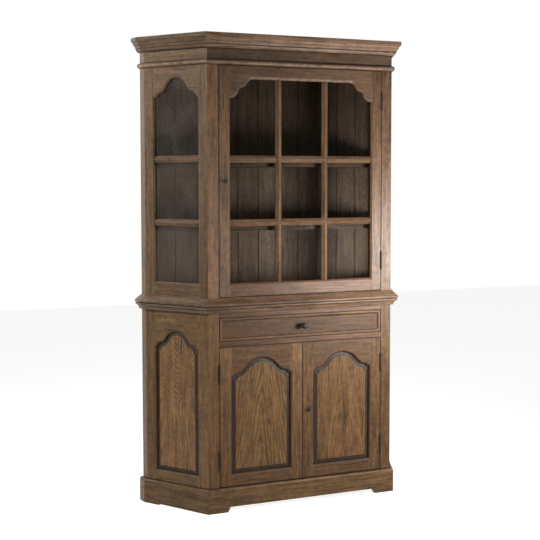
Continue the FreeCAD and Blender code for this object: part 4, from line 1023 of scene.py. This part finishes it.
@dataclass(frozen=True)
class UpperCase(Part):
    """Waist, posts, lights, glazed door, frieze and cornice."""

    wood: ClassVar[dict[str, object]] = {"pale": TONES.high_pale, "deep": TONES.high_deep}
    # Painted shade along the gap at the glazed door's side.
    door_side_glaze: Lines = ((0.432, 0.0040),)
    # Painted shade along the gaps under and over the glazed door.
    door_end_glaze: Lines = ((1.0000, 0.0052), (2.0590, 0.0048))
    # Dark band along the bars beside the glass: glaze together with painted shade.
    bar_glaze: Bands = ((-0.0120, 0.0022, 0.9),)
    # Dark band along the reveals beside the glass: glaze together with painted shade.
    reveal_glaze: Bands = ((-0.0128, 0.0024, 0.8),)
    # Dark lines on the cornice and frieze: glaze and painted shade in the cornice's step and at its foot, and a
    # painted shadow of the bead on the frieze.
    cornice_glaze: Lines = ((2.1502, 0.0032), (2.1334, 0.0025), (2.0855, 0.0025))
    # Dark lines in the waist moulding's steps: glaze together with painted shade.
    waist_glaze: Lines = ((0.9598, 0.0026), (0.949, 0.002), (0.9275, 0.003))
    bar_strip: Pair = (0.123, 0.0168)
    # Painted highlight: a light strip along the underside of the glazed door's head.
    head_rub: Bands = ((2.0045, 0.0090, 0.272),)
    # Painted highlight along the middle of the bead.
    bead_rub: Bands = ((2.0705, 0.0085, 2.0),)
    # Painted light on the upper posts' fronts: lighter, most of all low down.
    post_tone: Ramp = Ramp(1.08, 1.36, 1.60, 1.30)
    # Painted shade: the glazed door's stiles grow darker towards their tops.
    stile_tone: Ramp = Ramp(1.90, 2.06, 1.0, 0.70)

    def groups(self) -> tuple[Dressing, ...]:
        """The groups of the upper case, from the waist up."""
        upright, level = GrainRun.UPRIGHT, GrainRun.ALONG
        edged = Glaze(bands=self.reveal_glaze, uprights=self.door_side_glaze)
        hung = Glaze(bands=self.reveal_glaze, uprights=self.door_side_glaze, levels=self.door_end_glaze)
        moulded = Glaze(levels=self.cornice_glaze)
        # The waist's front tint and right-end tone also paint the light that falls on it.
        waist = {"glaze": Glaze(levels=self.waist_glaze), "pale": TONES.grey_pale, "deep": TONES.grey_deep,
                 "dust_share": 0.4, "right_tone": 1.3, "front_tint": (0.86, 0.76, 0.62)}
        # The tints of the front and canted faces and the tone of the front's right end give colour and also paint the
        # light and shade that fall there.
        return (
            self.oak("waist board", "waist_oak", level, 24.1, "waist_board", **waist),
            self.oak("waist moulding", "waist_moulding_oak", level, 26.5, "waist_moulding", **waist),
            self.oak("upper posts", "upper_post_oak", upright, 29.8, "upper_front_posts", "upper_rear_posts",
                     glaze=edged, smoked=self.post_tone, right_tone=0.78, cant_tint=(0.90, 0.87, 0.74)),
            self.oak("canted light frames", "light_rail_oak", level, 31.4, "upper_side_heads", "upper_side_sills",
                     "upper_side_bars", glaze=Glaze(bands=self.reveal_glaze)),
            self.oak("glazed door stiles", "glass_stile_oak", upright, 33.2, "glass_door_stiles",
                     glaze=hung, smoked=self.stile_tone),
            self.oak("glazed door sill", "glass_sill_oak", level, 36.6, "glass_door_sill",
                     glaze=hung, front_tint=(0.76, 0.61, 0.54), right_tone=1.35),
            self.oak("glazed door head", "glass_head_oak", level, 37.2, "glass_door_head",
                     glaze=hung, front_tint=(0.62, 0.60, 0.58), right_tone=1.55, rubbed_levels=self.head_rub),
            self.oak("glazing bars", "bar_oak", level, 38.1, "glass_door_bars",
                     glaze=Glaze(bands=self.bar_glaze), upright_strip=self.bar_strip),
            self.oak("frieze", "frieze_oak", level, 41.5, "frieze",
                     glaze=moulded, front_tint=(0.50, 0.50, 0.52), right_tone=1.6),
            self.oak("bead", "bead_oak", level, 43.3, "frieze_bead", glaze=moulded, rubbed_levels=self.bead_rub),
            self.oak("cornice", "cornice_oak", level, 44.7, "cornice",
                     glaze=moulded, front_tint=(1.50, 1.46, 1.50), right_tone=1.15),
        )


@dataclass(frozen=True)
class Inside(Part):
    """Back boards, shelves, floor and the hidden frame, with what the first two have of their own."""

    wood: ClassVar[dict[str, object]] = {"pale": TONES.inner_pale, "deep": TONES.inner_deep, "dust_share": 0.1}
    # The back boards carry painted shade: they grow darker from 1.2 m up to 2.0 m.
    back_board: ClassVar[dict[str, object]] = {
        "board_pitch": 0.111, "board_start": -0.157, "smoked": Ramp(1.2, 2.0, 0.88, 0.40),
        "figure": Figure(flames=2.5, climb=26.0, spread=70.0, strength=0.3),
        "front_tint": (1.0, 1.0, 1.0), "cant_tint": (1.0, 1.0, 1.0), "shine": 0.05,
        "contrast": 0.8, "mottling": 1.2,
    }
    shelf: ClassVar[dict[str, object]] = {
        "pale": TONES.shelf_pale, "deep": TONES.shelf_deep, "dust_share": 0.2,
        "front_tint": (0.95, 0.9, 0.8), "cant_tint": (0.95, 0.9, 0.8), "shine": 0.05,
    }

    def groups(self) -> tuple[Dressing, ...]:
        """The groups inside the case."""
        return (
            self.oak("back boards", "back_board_oak", GrainRun.UPRIGHT, 47.3, "upper_back_boards",
                     "lower_back_boards", **self.back_board),
            self.oak("shelves", "shelf_oak", GrainRun.ACROSS, 52.8, "upper_shelves", "lower_shelf", "lower_floor",
                     "top_boards", "plinth_inner_frame", "drawer_runners", "drawer_bottom", "drawer_back",
                     "drawer_sides", **self.shelf),
            self.oak("glazing beads", "glazing_bead_oak", GrainRun.UPRIGHT, 55.1, "side_glazing_beads",
                     "glass_door_glazing_beads"),
        )


@dataclass(frozen=True)
class Fittings(Part):
    """Glass, hinges, keyhole plates, locks, keys, knob and shelf pins.

    Each pair of colours is the dark skin and the rubbed metal.
    """

    iron: tuple[Colour, Colour] = ((0.014, 0.011, 0.009), (0.060, 0.050, 0.042))
    hinge_iron: tuple[Colour, Colour] = ((0.020, 0.013, 0.009), (0.050, 0.037, 0.028))
    steel: tuple[Colour, Colour] = ((0.10, 0.095, 0.085), (0.33, 0.32, 0.30))

    def groups(self) -> tuple[Dressing, ...]:
        """The glass, then the iron and steel."""
        return (
            # The canted glass has a strong grey veil: a film on the glass, and also a painted stand-in for the pale
            # reflection on these panes.
            Dressing("canted glass", GlassFinish("side_glass", veil=0.065, gloss=0.12), ("upper_side_glass",)),
            Dressing("door glass", GlassFinish("door_glass"), ("glass_door_pane",)),
            Dressing("knob", MetalFinish("knob_iron", *self.iron, rubbed=0.7, roughness=0.38), ("drawer_knob",)),
            Dressing("hinges", MetalFinish("hinge_iron", *self.hinge_iron, roughness=0.6, metal=0.1, shine=0.15),
                     ("case_hinge_leaves", "glass_door_hinge_leaves", "left_door_hinge_leaves",
                      "right_door_hinge_leaves")),
            Dressing("keyhole plates", MetalFinish("plate_iron", *self.iron, rubbed=0.8, roughness=0.45),
                     ("glass_door_escutcheon", "right_door_escutcheon")),
            Dressing("keys", MetalFinish("key_iron", *self.iron, rubbed=0.9, roughness=0.4),
                     ("upper_key", "lower_key")),
            Dressing("locks and pins", MetalFinish("lock_steel", *self.steel),
                     ("glass_door_lock", "right_door_lock", "upper_bolt", "lower_bolt", "shelf_pins")),
        )


def main() -> None:
    """Builds the camera, the studio and every group of pieces."""
    logging.basicConfig(level=logging.INFO, format="%(message)s")
    for group in (Camera(), Studio(), LowerCase(), UpperCase(), Inside(), Fittings()):
        group.build()


if __name__ == "__main__":
    main()
